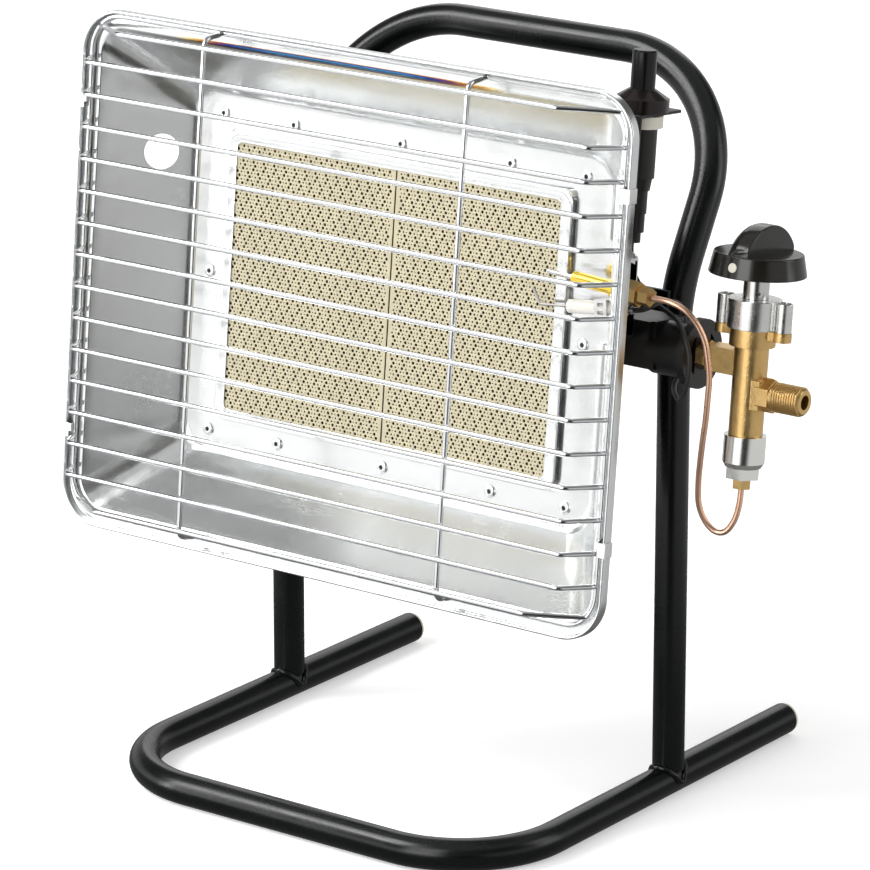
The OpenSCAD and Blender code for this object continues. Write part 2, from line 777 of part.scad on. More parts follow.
module baffle_plate() {
    foot = housing_back - housing_wall;
    front = plate_back + baffle_gap;
    color([0.72, 0.72, 0.73]) on_head() translate([baffle_x, 0, 0]) {
        translate([-baffle_w / 2, front, -baffle_h / 2]) cube([baffle_w, 1, baffle_h]);
        for (x = [-baffle_w / 2, baffle_w / 2 - 1])
            translate([x, front, -10]) cube([1, foot - front - seat_gap, 20]);
    }
}

// A blind rivet: a low dome with its mandrel's hole, the shank and the formed tail
module rivet() {
    grip = frame_flange + sheet + flange_t - floor_depth;
    hole_d = rivet_d * 0.58;
    from_depth(floor_depth - rivet_head_h) difference() {
        union() {
            cylinder(h = rivet_head_h * 0.55, d1 = rivet_head_d * 0.6, d2 = rivet_head_d * 0.94);
            translate([0, 0, rivet_head_h * 0.55])
                cylinder(h = rivet_head_h * 0.45, d1 = rivet_head_d * 0.94, d2 = rivet_head_d);
            cylinder(h = rivet_head_h + grip + 2.4, d = rivet_d);
            translate([0, 0, rivet_head_h + grip]) cylinder(h = 2, d = rivet_d * 1.45);
        }
        translate([0, 0, -over]) cylinder(h = over + 0.9, d = hole_d);
    }
}

module rivets() {
    color([0.8, 0.8, 0.82]) on_head() rivet_places() rivet();
}

// ---------------------------------------------------------------- guard
// A wire that runs across the front and bends back to the rim at both ends
module guard_wire(half, spread, back, trim) {
    turn = atan2(back, spread);
    cut = wire_bend_r * tan(turn / 2);
    translate([-half + cut, 0, 0]) rotate([0, 90, 0]) run(2 * (half - cut), wire_r, $fn = 24);
    both_sides() translate([half - cut, 0, 0]) rotate([0, 90, 0]) rotate([0, 0, 90]) {
        bend(wire_bend_r, turn, wire_r, $fn = 24);
        past_bend(wire_bend_r, turn) run(norm([spread, back]) - cut - trim, wire_r, $fn = 24);
    }
}

module on_guard() {
    on_head() translate([0, 0, guard_rise]) children();
}

module grille_bars() {
    color([0.85, 0.86, 0.88]) on_guard() for (i = [0:bar_count - 1]) {
        z = bar_z(i);
        cornered = abs(z) > guard_corner_z;
        inset = cornered ? end_bar_inset : bar_inset;
        trim = cornered ? wire_d * 0.95 : wire_r + seat_gap;
        translate([0, -guard_front, z])
            guard_wire(guard_edge(z) - inset, inset, guard_seat + guard_front, trim);
    }
}

module grille_uprights() {
    upright_depth = wire_d + seat_gap - guard_front;
    color([0.85, 0.86, 0.88]) on_guard() both_sides()
        translate([upright_x, upright_depth, 0]) rotate([0, 90, 0])
            guard_wire(guard_h / 2 - upright_inset, upright_inset, guard_seat - upright_depth,
                wire_r + seat_gap);
}

module grille_frame() {
    color([0.85, 0.86, 0.88]) on_guard() translate([0, guard_seat, 0]) {
        for (z = [-1, 1]) translate([-guard_w / 2 + guard_r, 0, z * guard_h / 2])
            rotate([0, 90, 0]) cylinder(h = guard_w - 2 * guard_r, r = wire_r, $fn = 24);
        for (x = [-1, 1]) translate([x * guard_w / 2, 0, -guard_h / 2 + guard_r])
            cylinder(h = guard_h - 2 * guard_r, r = wire_r, $fn = 24);
        for (q = [0:3]) {
            sx = q == 0 || q == 3 ? 1 : -1;
            sz = q < 2 ? 1 : -1;
            translate([sx * (guard_w / 2 - guard_r), 0, sz * (guard_h / 2 - guard_r)])
                rotate([90, 0, 0]) rotate([0, 0, 90 * q])
                    rotate_extrude(angle = 90, $fn = 48) translate([guard_r, 0])
                        circle(wire_r, $fn = 24);
        }
    }
}

module grille_clips() {
    outside = rim_w / 2 + seat_gap;
    inside = guard_w / 2 - clip_t / 2;
    color([0.93, 0.93, 0.94]) on_head() both_sides() for (z = [-clip_z, clip_z])
        translate([0, -clip_t - seat_gap, z - clip_w / 2]) {
            translate([outside, 0, 0]) cube([clip_t, lip_depth + sheet + clip_t, clip_w]);
            translate([inside + 2 * clip_t, 0, 0])
                cube([outside - inside - clip_t, clip_t, clip_w]);
            translate([inside, 0, clip_w - hook_w]) {
                cube([3 * clip_t, clip_t, hook_w]);
                cube([clip_t, guard_seat - wire_r + clip_t, hook_w]);
            }
        }
}

// ---------------------------------------------------------------- mixing tube
module mixing_screw_places() {
    for (z = [-port_pitch / 2, port_pitch / 2])
        translate([port_x, mix_depth, port_z + z]) rotate([0, 90, 0]) children();
}

module on_mix(x) {
    translate([x, mix_depth, mix_z]) rotate([0, 90, 0]) children();
}

module mixing_tube() {
    bell_bore = bell_d - 4.4;
    color([0.15, 0.13, 0.13]) on_head() difference() {
        union() {
            translate([port_x, mix_depth - duct_w / 2 - 1, port_z - port_h / 2])
                cube([port_t, duct_w + 2, port_h]);
            translate([port_x, mix_depth - duct_w / 2, port_z - duct_h / 2])
                cube([duct_l + port_t, duct_w, duct_h]);
            translate([port_x, mix_depth - duct_w / 2 - 2.4, port_z + duct_h / 2 - rib_h])
                cube([duct_l + 1, 4, rib_h]);
            on_mix(duct_end - 5) cylinder(h = bell_l, d = bell_d);
            on_mix(mouth_back) cylinder(h = mouth_t, d = mouth_d);
        }
        on_mix(port_x - over) cylinder(h = duct_l + over, d = mix_bore_d);
        on_mix(duct_end - 6) cylinder(h = 6, d1 = mix_bore_d, d2 = bell_bore);
        on_mix(duct_end - hairline) cylinder(h = mouth_back - duct_end + hairline, d = bell_bore);
        difference() {
            on_mix(mouth_back - over) cylinder(h = mouth_t + 2 * over, d = bell_bore);
            translate([mouth_back, mix_depth - bridge_w / 2, mix_z - mouth_d / 2])
                cube([mouth_t, bridge_w, mouth_d]);
        }
        on_mix(mouth_back - over) cylinder(h = mouth_t + 2 * over, d = stem_d + 2 * seat_gap);
        mixing_screw_places() translate([0, 0, -over]) cylinder(h = port_t + 3, d = 4.4);
    }
}

module mixing_tube_screws() {
    color([0.7, 0.7, 0.72]) on_head() mixing_screw_places() {
        translate([0, 0, port_t]) cylinder(h = 2.4, d = 7);
        translate([0, 0, -7]) cylinder(h = port_t + 7.5, d = 3.4);
    }
}

module injector() {
    stem_back = mouth_back - 5;
    hex_l = 4;
    color([0.84, 0.68, 0.3]) on_head() difference() {
        union() {
            on_mix(stem_back) cylinder(h = arm_x - stem_back - seat_gap, d = stem_d);
            on_mix(arm_x - 1) cylinder(h = 8, d = stem_d * 0.7);
            on_mix(stem_back - hex_l) hexagon(8, hex_l + hairline);
            on_mix(stem_back - hex_l - 4) cylinder(h = 4, d1 = 3, d2 = 6.4);
        }
        on_mix(stem_back - hex_l - 3) cylinder(h = 40, d = 3);
        on_mix(stem_back - hex_l - 5) cylinder(h = 10, d = 0.9);
    }
}

module injector_nut() {
    color([0.84, 0.68, 0.3]) on_head() on_mix(mouth_x + seat_gap) difference() {
        hexagon(13, nut_l);
        translate([0, 0, -over]) cylinder(h = nut_l + 2 * over, d = stem_d + 2 * seat_gap);
    }
}

// ---------------------------------------------------------------- gas valve
module ears(z, h, d) {
    for (x = [-ear_x, ear_x]) translate([x, 0, z]) cylinder(h = h, d = d);
}

module valve_body() {
    hex_x = valve_d / 2 - 0.6;
    inlet_x = hex_x + 7;
    color([0.84, 0.68, 0.3]) on_valve() difference() {
        union() {
            translate([0, 0, -valve_down]) cylinder(h = valve_down + bonnet_base, d = valve_d);
            translate([0, 0, bonnet_base - 8.5]) cylinder(h = 8.5, d = 21.8);
            ears(bonnet_base - 4.4, 4.4, ear_d + 0.6);
            translate([-ear_x, -3.6, bonnet_base - 4.4]) cube([2 * ear_x, 7.2, 4.4]);
            translate([arm_x - valve_x, -arm_side / 2, -arm_side / 2])
                cube([valve_x - arm_x, arm_side, arm_side]);
            translate([0, -inlet_hex / 2 + 0.6, -inlet_drop - inlet_hex / 2])
                cube([hex_x + 2, inlet_hex - 1.2, inlet_hex]);
            translate([hex_x, 0, -inlet_drop]) rotate([0, 90, 0]) hexagon(inlet_hex, 7);
            translate([inlet_x - over, 0, -inlet_drop]) rotate([0, 90, 0])
                cylinder(h = inlet_l - 1 + over, d = inlet_d);
            translate([inlet_x + inlet_l - 1, 0, -inlet_drop]) rotate([0, 90, 0])
                cylinder(h = 1, d1 = inlet_d, d2 = inlet_d - 2);
        }
        translate([0, 0, cock_bottom - fit_play])
            cylinder(h = 40, d = cock_d + 2 * fit_play);
        translate([0, 0, seat_z - over]) cylinder(h = 10, d = 5.4);
        translate([0, 0, -valve_down - over])
            cylinder(h = valve_down + over + seat_z, d = chamber_d);
        translate([0, 0, -inlet_drop]) rotate([0, 90, 0])
            cylinder(h = inlet_x + inlet_l + over, d = inlet_bore_d);
        translate([-over, 0, 0]) rotate([0, -90, 0]) cylinder(h = 30, d = 4);
        translate([arm_x - valve_x - over, 0, 0]) rotate([0, 90, 0])
            cylinder(h = 9, d = stem_d * 0.7 + 2 * seat_gap);
        ears(bonnet_base - 6, 8, 3.5 + 2 * seat_gap);
    }
}

module valve_bonnet() {
    recess = 4;
    color([0.8, 0.81, 0.82]) on_valve() difference() {
        union() {
            translate([0, 0, bonnet_base]) cylinder(h = bonnet_h, d = bonnet_d);
            ears(bonnet_base, bonnet_h, ear_d);
        }
        translate([0, 0, bonnet_base - over])
            cylinder(h = over + push_travel + 4.2, d = spindle_d + 2);
        translate([0, 0, bonnet_base]) cylinder(h = bonnet_h + over, d = spindle_d + 2 * fit_play);
        ears(bonnet_base - over, bonnet_h + 2 * over, 3.5 + 2 * seat_gap);
        ears(bonnet_top - recess, recess + over, ear_d - 2);
    }
}

module bonnet_screws() {
    color([0.45, 0.45, 0.47]) on_valve() {
        ears(bonnet_top - 4 + seat_gap, 2, ear_d - 2.2);
        ears(bonnet_base - 4.2, bonnet_h + 1.2, 3.5);
    }
}

module valve_plug() {
    color([0.8, 0.64, 0.3]) on_valve() difference() {
        translate([0, 0, cock_bottom]) cylinder(h = cock_top - cock_bottom, d = cock_d);
        translate([0, 0, cock_bottom - over]) cylinder(h = 30, d = 2.7);
        rotate([0, -90, 0]) cylinder(h = cock_d, d = 4);
        intersection() {
            translate([0, 0, cock_bottom + 3]) cylinder(h = 30, d = 5.2 + 2 * fit_play);
            translate([-1.8 - fit_play, -5, cock_bottom + 3]) cube([10, 10, 30]);
        }
    }
}

module spindle() {
    top = knob_z + skirt_h - knob_wall - 1;
    pin_tip = seat_z + 0.3;
    shaft_foot = cock_bottom + 3 + push_travel + 0.3;
    color([0.8, 0.8, 0.82]) on_valve() {
        difference() {
            translate([0, 0, shoulder_z]) cylinder(h = top - shoulder_z, d = spindle_d);
            translate([-10, spindle_d / 2 - 1.2, knob_z - 1]) cube([20, 5, 20]);
            translate([0, 0, bonnet_top + 3]) rotate([90, 0, 45])
                cylinder(h = 10, d = 1.6);
        }
        intersection() {
            translate([0, 0, shaft_foot]) cylinder(h = shoulder_z - shaft_foot + hairline, d = 5.2);
            translate([-1.8, -5, shaft_foot]) cube([10, 10, 40]);
        }
        translate([0, 0, pin_tip]) cylinder(h = shaft_foot - pin_tip + hairline, d = 2.4);
    }
}

module spindle_spring() {
    color([0.7, 0.7, 0.72]) on_valve() translate([0, 0, cock_top + 0.1])
        coil_spring(4, 1, shoulder_z - cock_top - 0.2, 5);
}

module armature() {
    plate_z = seat_z - 7.4;
    color([0.55, 0.52, 0.5]) on_valve() {
        translate([0, 0, seat_z - 1.5 - seat_gap]) cylinder(h = 1.5, d = 11.6);
        translate([0, 0, plate_z]) cylinder(h = seat_z - plate_z - 1, d = 2);
        translate([0, 0, plate_z]) cylinder(h = 1.4, d = 8);
    }
}

module armature_spring() {
    color([0.7, 0.7, 0.72]) on_valve() translate([0, 0, magnet_top + 0.1])
        coil_spring(5.2, 0.8, seat_z - 1.7 - magnet_top, 3);
}

module magnet_unit() {
    color([0.6, 0.58, 0.55]) on_valve() translate([0, 0, -valve_down - magnet_l + 2])
        cylinder(h = magnet_top + valve_down + magnet_l - 2, d = chamber_d - 2 * seat_gap);
}

module magnet_housing() {
    color([0.82, 0.83, 0.84]) on_valve() difference() {
        union() {
            translate([0, 0, magnet_z + 2.5]) cylinder(h = magnet_l - 2.5 - seat_gap, d = magnet_d);
            translate([0, 0, magnet_z]) cylinder(h = 2.5 + hairline, d1 = magnet_d - 3, d2 = magnet_d);
            translate([0, 0, magnet_z - union_l]) hexagon(15, union_l + over);
        }
        translate([0, 0, magnet_z + 2 - seat_gap]) cylinder(h = magnet_l, d = chamber_d);
        translate([0, 0, magnet_z - union_l - over]) cylinder(h = 20, d = 6.4 + 2 * seat_gap);
    }
}

module thermocouple_nut() {
    color([0.84, 0.68, 0.3]) on_valve() difference() {
        union() {
            translate([0, 0, nut_z - cap_nut_l]) hexagon(8, cap_nut_l);
            translate([0, 0, nut_z - over]) cylinder(h = union_l + over, d = 6.4);
        }
        translate([0, 0, nut_z - cap_nut_l - over]) cylinder(h = 8, d = lead_d + 2 * seat_gap);
    }
}

// ---------------------------------------------------------------- knob
module knob_shell() {
    dome_r = (pow(knob_top_d / 2, 2) + pow(grip_h, 2)) / (2 * grip_h);
    translate([0, 0, knob_z]) cylinder(h = skirt_h, d1 = knob_d, d2 = knob_top_d);
    intersection() {
        translate([-grip_t / 2, 0, knob_z + skirt_h + grip_h - dome_r]) rotate([0, 90, 0])
            cylinder(h = grip_t, r = dome_r);
        translate([0, 0, knob_z + skirt_h - over]) cylinder(h = grip_h + 2 * over, d = knob_top_d - 0.4);
    }
}

// Local +Z stands square on the skirt, at the place of the white mark
module on_mark() {
    side = (knob_d + knob_top_d) / 4;
    slope = atan((knob_d - knob_top_d) / 2 / skirt_h);
    translate([0, -side, knob_z + skirt_h / 2]) rotate([90 - slope, 0, 0]) children();
}

module knob() {
    color([0.1, 0.1, 0.1]) on_valve() difference() {
        knob_shell();
        difference() {
            translate([0, 0, knob_z - over]) cylinder(h = skirt_h - knob_wall + over,
                d1 = knob_d - 2 * knob_wall, d2 = knob_top_d - 2 * knob_wall);
            translate([0, 0, knob_z]) cylinder(h = skirt_h, d = spindle_d + 5);
        }
        difference() {
            translate([0, 0, knob_z - over])
                cylinder(h = skirt_h - knob_wall - 1 + over + seat_gap, d = spindle_d + 2 * seat_gap);
            translate([-10, spindle_d / 2 - 1.2 + seat_gap, knob_z - over]) cube([20, 5, 20]);
        }
        on_mark() translate([0, 0, -mark_h])
            cylinder(h = mark_h + over, d = mark_d + 2 * seat_gap);
    }
}

module knob_marker() {
    color([0.95, 0.95, 0.95]) on_valve() on_mark() translate([0, 0, seat_gap - mark_h])
        cylinder(h = mark_h - 2 * seat_gap, d = mark_d);
}

// ---------------------------------------------------------------- thermocouple
module thermocouple_sleeve() {
    color([0.86, 0.68, 0.2]) on_sensor() difference() {
        union() {
            translate([0, 0, -sleeve_l]) cylinder(h = sleeve_l + 13, d = sleeve_d);
            translate([0, 0, -3 - seat_gap]) cylinder(h = 2.6, d = sleeve_d + 2.4);
        }
        translate([0, 0, -sleeve_l - over]) cylinder(h = 9, d = 2.4 + 2 * seat_gap);
    }
}

module thermocouple_tip() {
    color([0.7, 0.68, 0.64]) on_sensor() {
        translate([0, 0, -sleeve_l - tip_l]) cylinder(h = tip_l + 7, d = 2.4, $fn = 24);
        translate([0, 0, -sleeve_l - tip_l]) sphere(d = 2.4, $fn = 24);
    }
}

module thermocouple_fittings() {
    color([0.84, 0.68, 0.3]) on_sensor() difference() {
        union() {
            translate([0, 0, sheet + 0.4]) hexagon(9.6, 2.6);
            translate([0, 0, 4]) hexagon(10.6, 8.6);
            translate([0, 0, 3 - hairline]) cylinder(h = 1.1, d = 9);
            translate([0, 0, 12.6 - hairline]) hexagon(8, 6);
        }
        translate([0, 0, -over]) cylinder(h = 14.1, d = sleeve_d + 2 * seat_gap);
        translate([0, 0, 13.4]) cylinder(h = 8, d = lead_d + 0.4);
    }
}

module capillary() {
    color([0.8, 0.47, 0.32]) on_head() swept(smooth(capillary_route, 2), lead_d / 2, 8);
}

// ---------------------------------------------------------------- ignition
module electrode_insulator() {
    color([0.95, 0.94, 0.9]) on_electrode() difference() {
        translate([0, 0, -insulator_l]) cylinder(h = insulator_l + 1.5, d = insulator_d);
        translate([0, 0, -insulator_l - over])
            cylinder(h = insulator_l + 10, d = electrode_d + 2 * seat_gap);
    }
}

module electrode_wire() {
    elbow = [0, 0, -insulator_l - wire_l];
    tip = elbow + [-7.4, 1, -4.5];
    color([0.45, 0.42, 0.4]) on_electrode() {
        translate(elbow) cylinder(h = insulator_l + wire_l + 5, d = electrode_d, $fn = 24);
        translate(elbow) sphere(d = electrode_d, $fn = 24);
        rod_between(elbow, tip, electrode_d / 2);
    }
}

module electrode_clip() {
    clip = insulator_d + 2 * seat_gap;
    color([0.78, 0.78, 0.79]) on_electrode() difference() {
        union() {
            translate([-clip / 2 - 1, -clip / 2 - 1, -13.5]) cube([clip + 2, clip + 2, 7]);
            translate([clip / 2, -clip / 2 - 1, -13.5]) cube([1, clip + 2, 12.2]);
            translate([clip / 2, -clip / 2 - 1, -2.3]) cube([5, clip + 2, 1]);
        }
        translate([0, 0, -20]) cylinder(h = 30, d = clip);
        translate([-3, -clip, -11.5]) cube([1.8, clip, 3.4]);
        translate([0.6, -clip, -11.5]) cube([1.8, clip, 3.4]);
    }
}

module lead_terminal() {
    color([0.7, 0.7, 0.7]) on_electrode() difference() {
        for (i = [0:3]) translate([0, 0, 1.6 + 1.2 * i])
            cylinder(h = 1.21, d = i % 2 == 0 ? 4 : 3.2);
        translate([0, 0, 1]) cylinder(h = 8, d = electrode_d + 2 * seat_gap);
    }
}

module ignition_lead() {
    color([0.12, 0.11, 0.11]) on_head() swept(smooth(spark_route, 2), spark_lead_d / 2, 8);
}

module igniter_bracket() {
    front = housing_front + flange_t;
    edge = igniter_x + shelf_reach[0];
    left = rivet_corner_x - 8;
    low = pocket_h / 2 + housing_wall + 0.2;
    color([0.16, 0.14, 0.14]) on_head() difference() {
        union() {
            translate([left, front, shelf_z])
                cube([edge - left, igniter_depth + shelf_reach[1] - front, bracket_t]);
            translate([left, front, low]) cube([edge - left, bracket_t, shelf_z - low + hairline]);
        }
        translate([igniter_x, igniter_depth, shelf_z - over])
            cylinder(h = bracket_t + 2 * over, d = igniter_d + 2 * seat_gap);
        translate([rivet_corner_x, 0, rivet_row_z]) from_depth(front - over)
            cylinder(h = bracket_t + 2 * over, d = rivet_d * 1.45 + 0.4);
    }
}

module igniter_body() {
    bore = button_d + 2 * fit_play;
    cuts = [[0, 0], [3.4, 1.6], [5, 5], [6.2, 6.2], [8.8, 8.8]];
    color([0.12, 0.12, 0.12]) on_igniter() difference() {
        union() {
            translate([0, 0, shelf_z - igniter_steps[0]])
                cylinder(h = igniter_steps[0] + 4, d = igniter_d);
            for (i = [1:4]) translate([0, 0, shelf_z - igniter_steps[i]])
                cylinder(h = igniter_steps[i] - igniter_steps[i - 1] + hairline,
                    d1 = igniter_d - cuts[i][0], d2 = igniter_d - cuts[i][1]);
        }
        translate([0, 0, spring_foot]) cylinder(h = 60, d = bore);
        translate([0, 0, shelf_z - igniter_steps[4] - over])
            cylinder(h = 4, d = spark_lead_d + 2 * seat_gap);
    }
}

module igniter_hood() {
    foot = shelf_z + bracket_t;
    rim = hood_h * 0.6;
    color([0.17, 0.13, 0.12]) on_igniter() difference() {
        union() {
            translate([0, 0, foot]) cylinder(h = rim, d = hood_d);
            translate([0, 0, foot + rim - hairline])
                cylinder(h = hood_h - rim, d1 = hood_d, d2 = button_d + 1.6);
        }
        translate([0, 0, foot - over]) cylinder(h = over + shelf_z + 4.2 - foot,
            d = igniter_d + 2 * seat_gap);
        translate([0, 0, foot]) cylinder(h = hood_h + over, d = button_d + 2 * fit_play);
    }
}

module igniter_nut() {
    color([0.93, 0.91, 0.84]) on_igniter() translate([0, 0, shelf_z - 6])
        bored(6 - seat_gap, 21.6, igniter_d + 2 * seat_gap);
}

module igniter_button() {
    top = shelf_z + bracket_t + hood_h + button_h;
    color([0.09, 0.09, 0.09]) on_igniter() {
        translate([0, 0, button_foot]) cylinder(h = top - button_foot - 0.8, d = button_d);
        translate([0, 0, top - 0.8 - hairline]) cylinder(h = 0.8, d1 = button_d, d2 = button_d - 1.2);
    }
}

module igniter_spring() {
    color([0.7, 0.7, 0.72]) on_igniter() translate([0, 0, spring_foot + 0.1])
        coil_spring(button_d / 2 - 1.3, 1, button_foot - spring_foot - 0.2, 5);
}

base_tube();
hoop_tube();
tube_end_plugs();
crossbar();
mounting_bolts();
reflector();
burner_frame();
ceramic_plate_left();
ceramic_plate_right();
plate_gasket();
burner_housing();
baffle_plate();
rivets();
mixing_tube();
mixing_tube_screws();
injector();
injector_nut();
grille_bars();
grille_uprights();
grille_frame();
grille_clips();
valve_body();
valve_bonnet();
bonnet_screws();
valve_plug();
spindle();
spindle_spring();
knob();
knob_marker();
armature();
armature_spring();
magnet_unit();
magnet_housing();
thermocouple_nut();
capillary();
thermocouple_fittings();
thermocouple_sleeve();
thermocouple_tip();
electrode_insulator();
electrode_wire();
electrode_clip();
lead_terminal();
ignition_lead();
igniter_bracket();
igniter_body();
igniter_hood();
igniter_nut();
igniter_button();
igniter_spring();
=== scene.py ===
"""Finishes and fine detail of a portable propane heater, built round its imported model.

Lengths in the classes are millimetres. Places on the tilted head are given as sideways,
depth behind the rim, and height above the head's axis.
"""

import logging
import math
from collections.abc import Sequence
from dataclasses import dataclass, field
from enum import Enum

import bmesh
import bpy
from mathutils import Matrix, Vector

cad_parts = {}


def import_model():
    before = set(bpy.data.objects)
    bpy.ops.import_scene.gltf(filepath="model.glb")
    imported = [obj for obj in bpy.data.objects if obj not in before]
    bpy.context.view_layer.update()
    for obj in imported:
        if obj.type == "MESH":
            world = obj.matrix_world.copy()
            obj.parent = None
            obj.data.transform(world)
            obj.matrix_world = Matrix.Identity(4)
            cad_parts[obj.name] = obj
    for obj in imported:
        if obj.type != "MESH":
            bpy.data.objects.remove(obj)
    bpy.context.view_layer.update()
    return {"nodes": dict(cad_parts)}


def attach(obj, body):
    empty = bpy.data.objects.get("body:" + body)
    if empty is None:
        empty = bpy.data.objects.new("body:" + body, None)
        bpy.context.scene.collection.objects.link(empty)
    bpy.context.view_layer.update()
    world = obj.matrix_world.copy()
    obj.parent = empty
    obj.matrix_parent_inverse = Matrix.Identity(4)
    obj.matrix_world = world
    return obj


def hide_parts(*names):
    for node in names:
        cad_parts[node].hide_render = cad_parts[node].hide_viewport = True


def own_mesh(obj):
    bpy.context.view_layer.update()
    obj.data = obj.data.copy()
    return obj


LOG = logging.getLogger("heater")
MM = 0.001
HEATER = "heater"
KNOB = "gas_knob"
COCK = "gas_cock"
WELD_REACH = 0.004
ROUNDED_FROM = 30

Colour = tuple[float, float, float]
Place = tuple[float, float, float]
Ring = list[Vector]
Line = Sequence[tuple[float, float]]
Material = bpy.types.Material
Piece = bpy.types.Object
Shape = bmesh.types.BMesh
Socket = bpy.types.NodeSocket
Tree = bpy.types.NodeTree


# ---------------------------------------------------------------- node building
class Graph:
    """Adds nodes to one node tree and joins them."""

    def __init__(self, tree: Tree) -> None:
        """Starts on a shader or geometry tree."""
        self.tree = tree

    def add(self, kind: str, inputs: dict[str | int, object] | None = None,
            **settings: object) -> bpy.types.Node:
        """Adds one node.

        Args:
            kind: The node's type, such as ShaderNodeMix.
            inputs: Values or sockets for its inputs, by name or index.
            **settings: Properties to set on the node.

        Returns:
            The new node.
        """
        node = self.tree.nodes.new(kind)
        for name, value in settings.items():
            setattr(node, name, value)
        for key, value in (inputs or {}).items():
            self.feed(node.inputs[key], value)
        return node

    def feed(self, socket: Socket, value: object) -> None:
        """Links a socket to another one, or sets its value.

        Args:
            socket: The input to feed.
            value: An output socket, a number, a vector or a colour.
        """
        if isinstance(value, Socket):
            self.tree.links.new(value, socket)
        elif socket.type == "RGBA" and len(value) == 3:
            socket.default_value = (*value, 1.0)
        else:
            socket.default_value = value

    def math(self, operation: str, *values: object, clamp: bool = False) -> Socket:
        """Adds a Math node on numbers or sockets; clamp holds its result between 0 and 1."""
        return self.out("ShaderNodeMath", dict(enumerate(values)), operation=operation, use_clamp=clamp)

    def remap(self, value: object, low: float, high: float, to_low: float = 0.0,
              to_high: float = 1.0) -> Socket:
        """Maps a value from one range to another, with smooth ends.

        Args:
            value: The number or socket to map.
            low: The value that gives to_low.
            high: The value that gives to_high.
            to_low: The result at low.
            to_high: The result at high.

        Returns:
            The output socket.
        """
        return self.out("ShaderNodeMapRange", {0: value, 1: low, 2: high, 3: to_low, 4: to_high},
                        interpolation_type="SMOOTHSTEP")

    def mix(self, factor: object, first: object, second: object, blend: str = "MIX") -> Socket:
        """Mixes two colours.

        Args:
            factor: The share of the second colour.
            first: The first colour or socket.
            second: The second colour or socket.
            blend: The blend type.

        Returns:
            The output socket.
        """
        node = self.add("ShaderNodeMix", {0: factor, 6: first, 7: second}, data_type="RGBA",
                        blend_type=blend)
        return node.outputs[2]

    def noise(self, vector: object, scale: object, detail: float = 3.0, roughness: float = 0.5) -> Socket:
        """Adds a noise texture.

        Args:
            vector: The coordinates.
            scale: Waves per metre, about.
            detail: Octaves.
            roughness: Share of each finer octave.

        Returns:
            The output socket.
        """
        return self.out("ShaderNodeTexNoise", {"Vector": vector, "Scale": scale, "Detail": detail,
                                               "Roughness": roughness})

    def joined(self, *parts: Socket) -> Socket:
        """Joins geometries in the order given."""
        whole = self.add("GeometryNodeJoinGeometry")
        for part in parts:
            self.feed(whole.inputs[0], part)
        return whole.outputs[0]

    def band(self, value: object, start: float, full: float, still: float, end: float) -> Socket:
        """Rises from 0 at start to 1 at full, and falls from 1 at still to 0 at end."""
        return self.times(self.remap(value, start, full), self.remap(value, end, still))

    def minus(self, first: object, second: object) -> Socket:
        """Takes the second number or socket from the first."""
        return self.math("SUBTRACT", first, second)

    def plus(self, first: object, second: object, clamp: bool = False) -> Socket:
        """Adds two numbers or sockets."""
        return self.math("ADD", first, second, clamp=clamp)

    def times(self, first: object, *others: object) -> Socket:
        """Multiplies numbers or sockets, two at a time."""
        for other in others:
            first = self.math("MULTIPLY", first, other)
        return first

    def out(self, kind: str, inputs: dict[str | int, object] | None = None,
            **settings: object) -> Socket:
        """Adds one node as add does, and returns its first output."""
        return self.add(kind, inputs, **settings).outputs[0]


def new_group(name: str, kind: str, inputs: Sequence[tuple[str, str, object]],
              outputs: Sequence[tuple[str, str]]) -> tuple[Graph, dict, dict]:
    """Makes an empty node group with named sockets.

    Args:
        name: The group's name.
        kind: ShaderNodeTree or GeometryNodeTree.
        inputs: Name, socket type without its NodeSocket prefix, and default of each input.
        outputs: Name and socket type of each output.

    Returns:
        The graph, the group's inputs as output sockets by name, and the output node's
        sockets by name.
    """
    tree = bpy.data.node_groups.new(name, kind)
    for label, socket, default in inputs:
        made = tree.interface.new_socket(label, in_out="INPUT", socket_type="NodeSocket" + socket)
        if default is not None:
            made.default_value = default
    for label, socket in outputs:
        tree.interface.new_socket(label, in_out="OUTPUT", socket_type="NodeSocket" + socket)
    start = tree.nodes.new("NodeGroupInput")
    end = tree.nodes.new("NodeGroupOutput")
    return (Graph(tree), {s.name: s for s in start.outputs if s.name},
            {s.name: s for s in end.inputs if s.name})


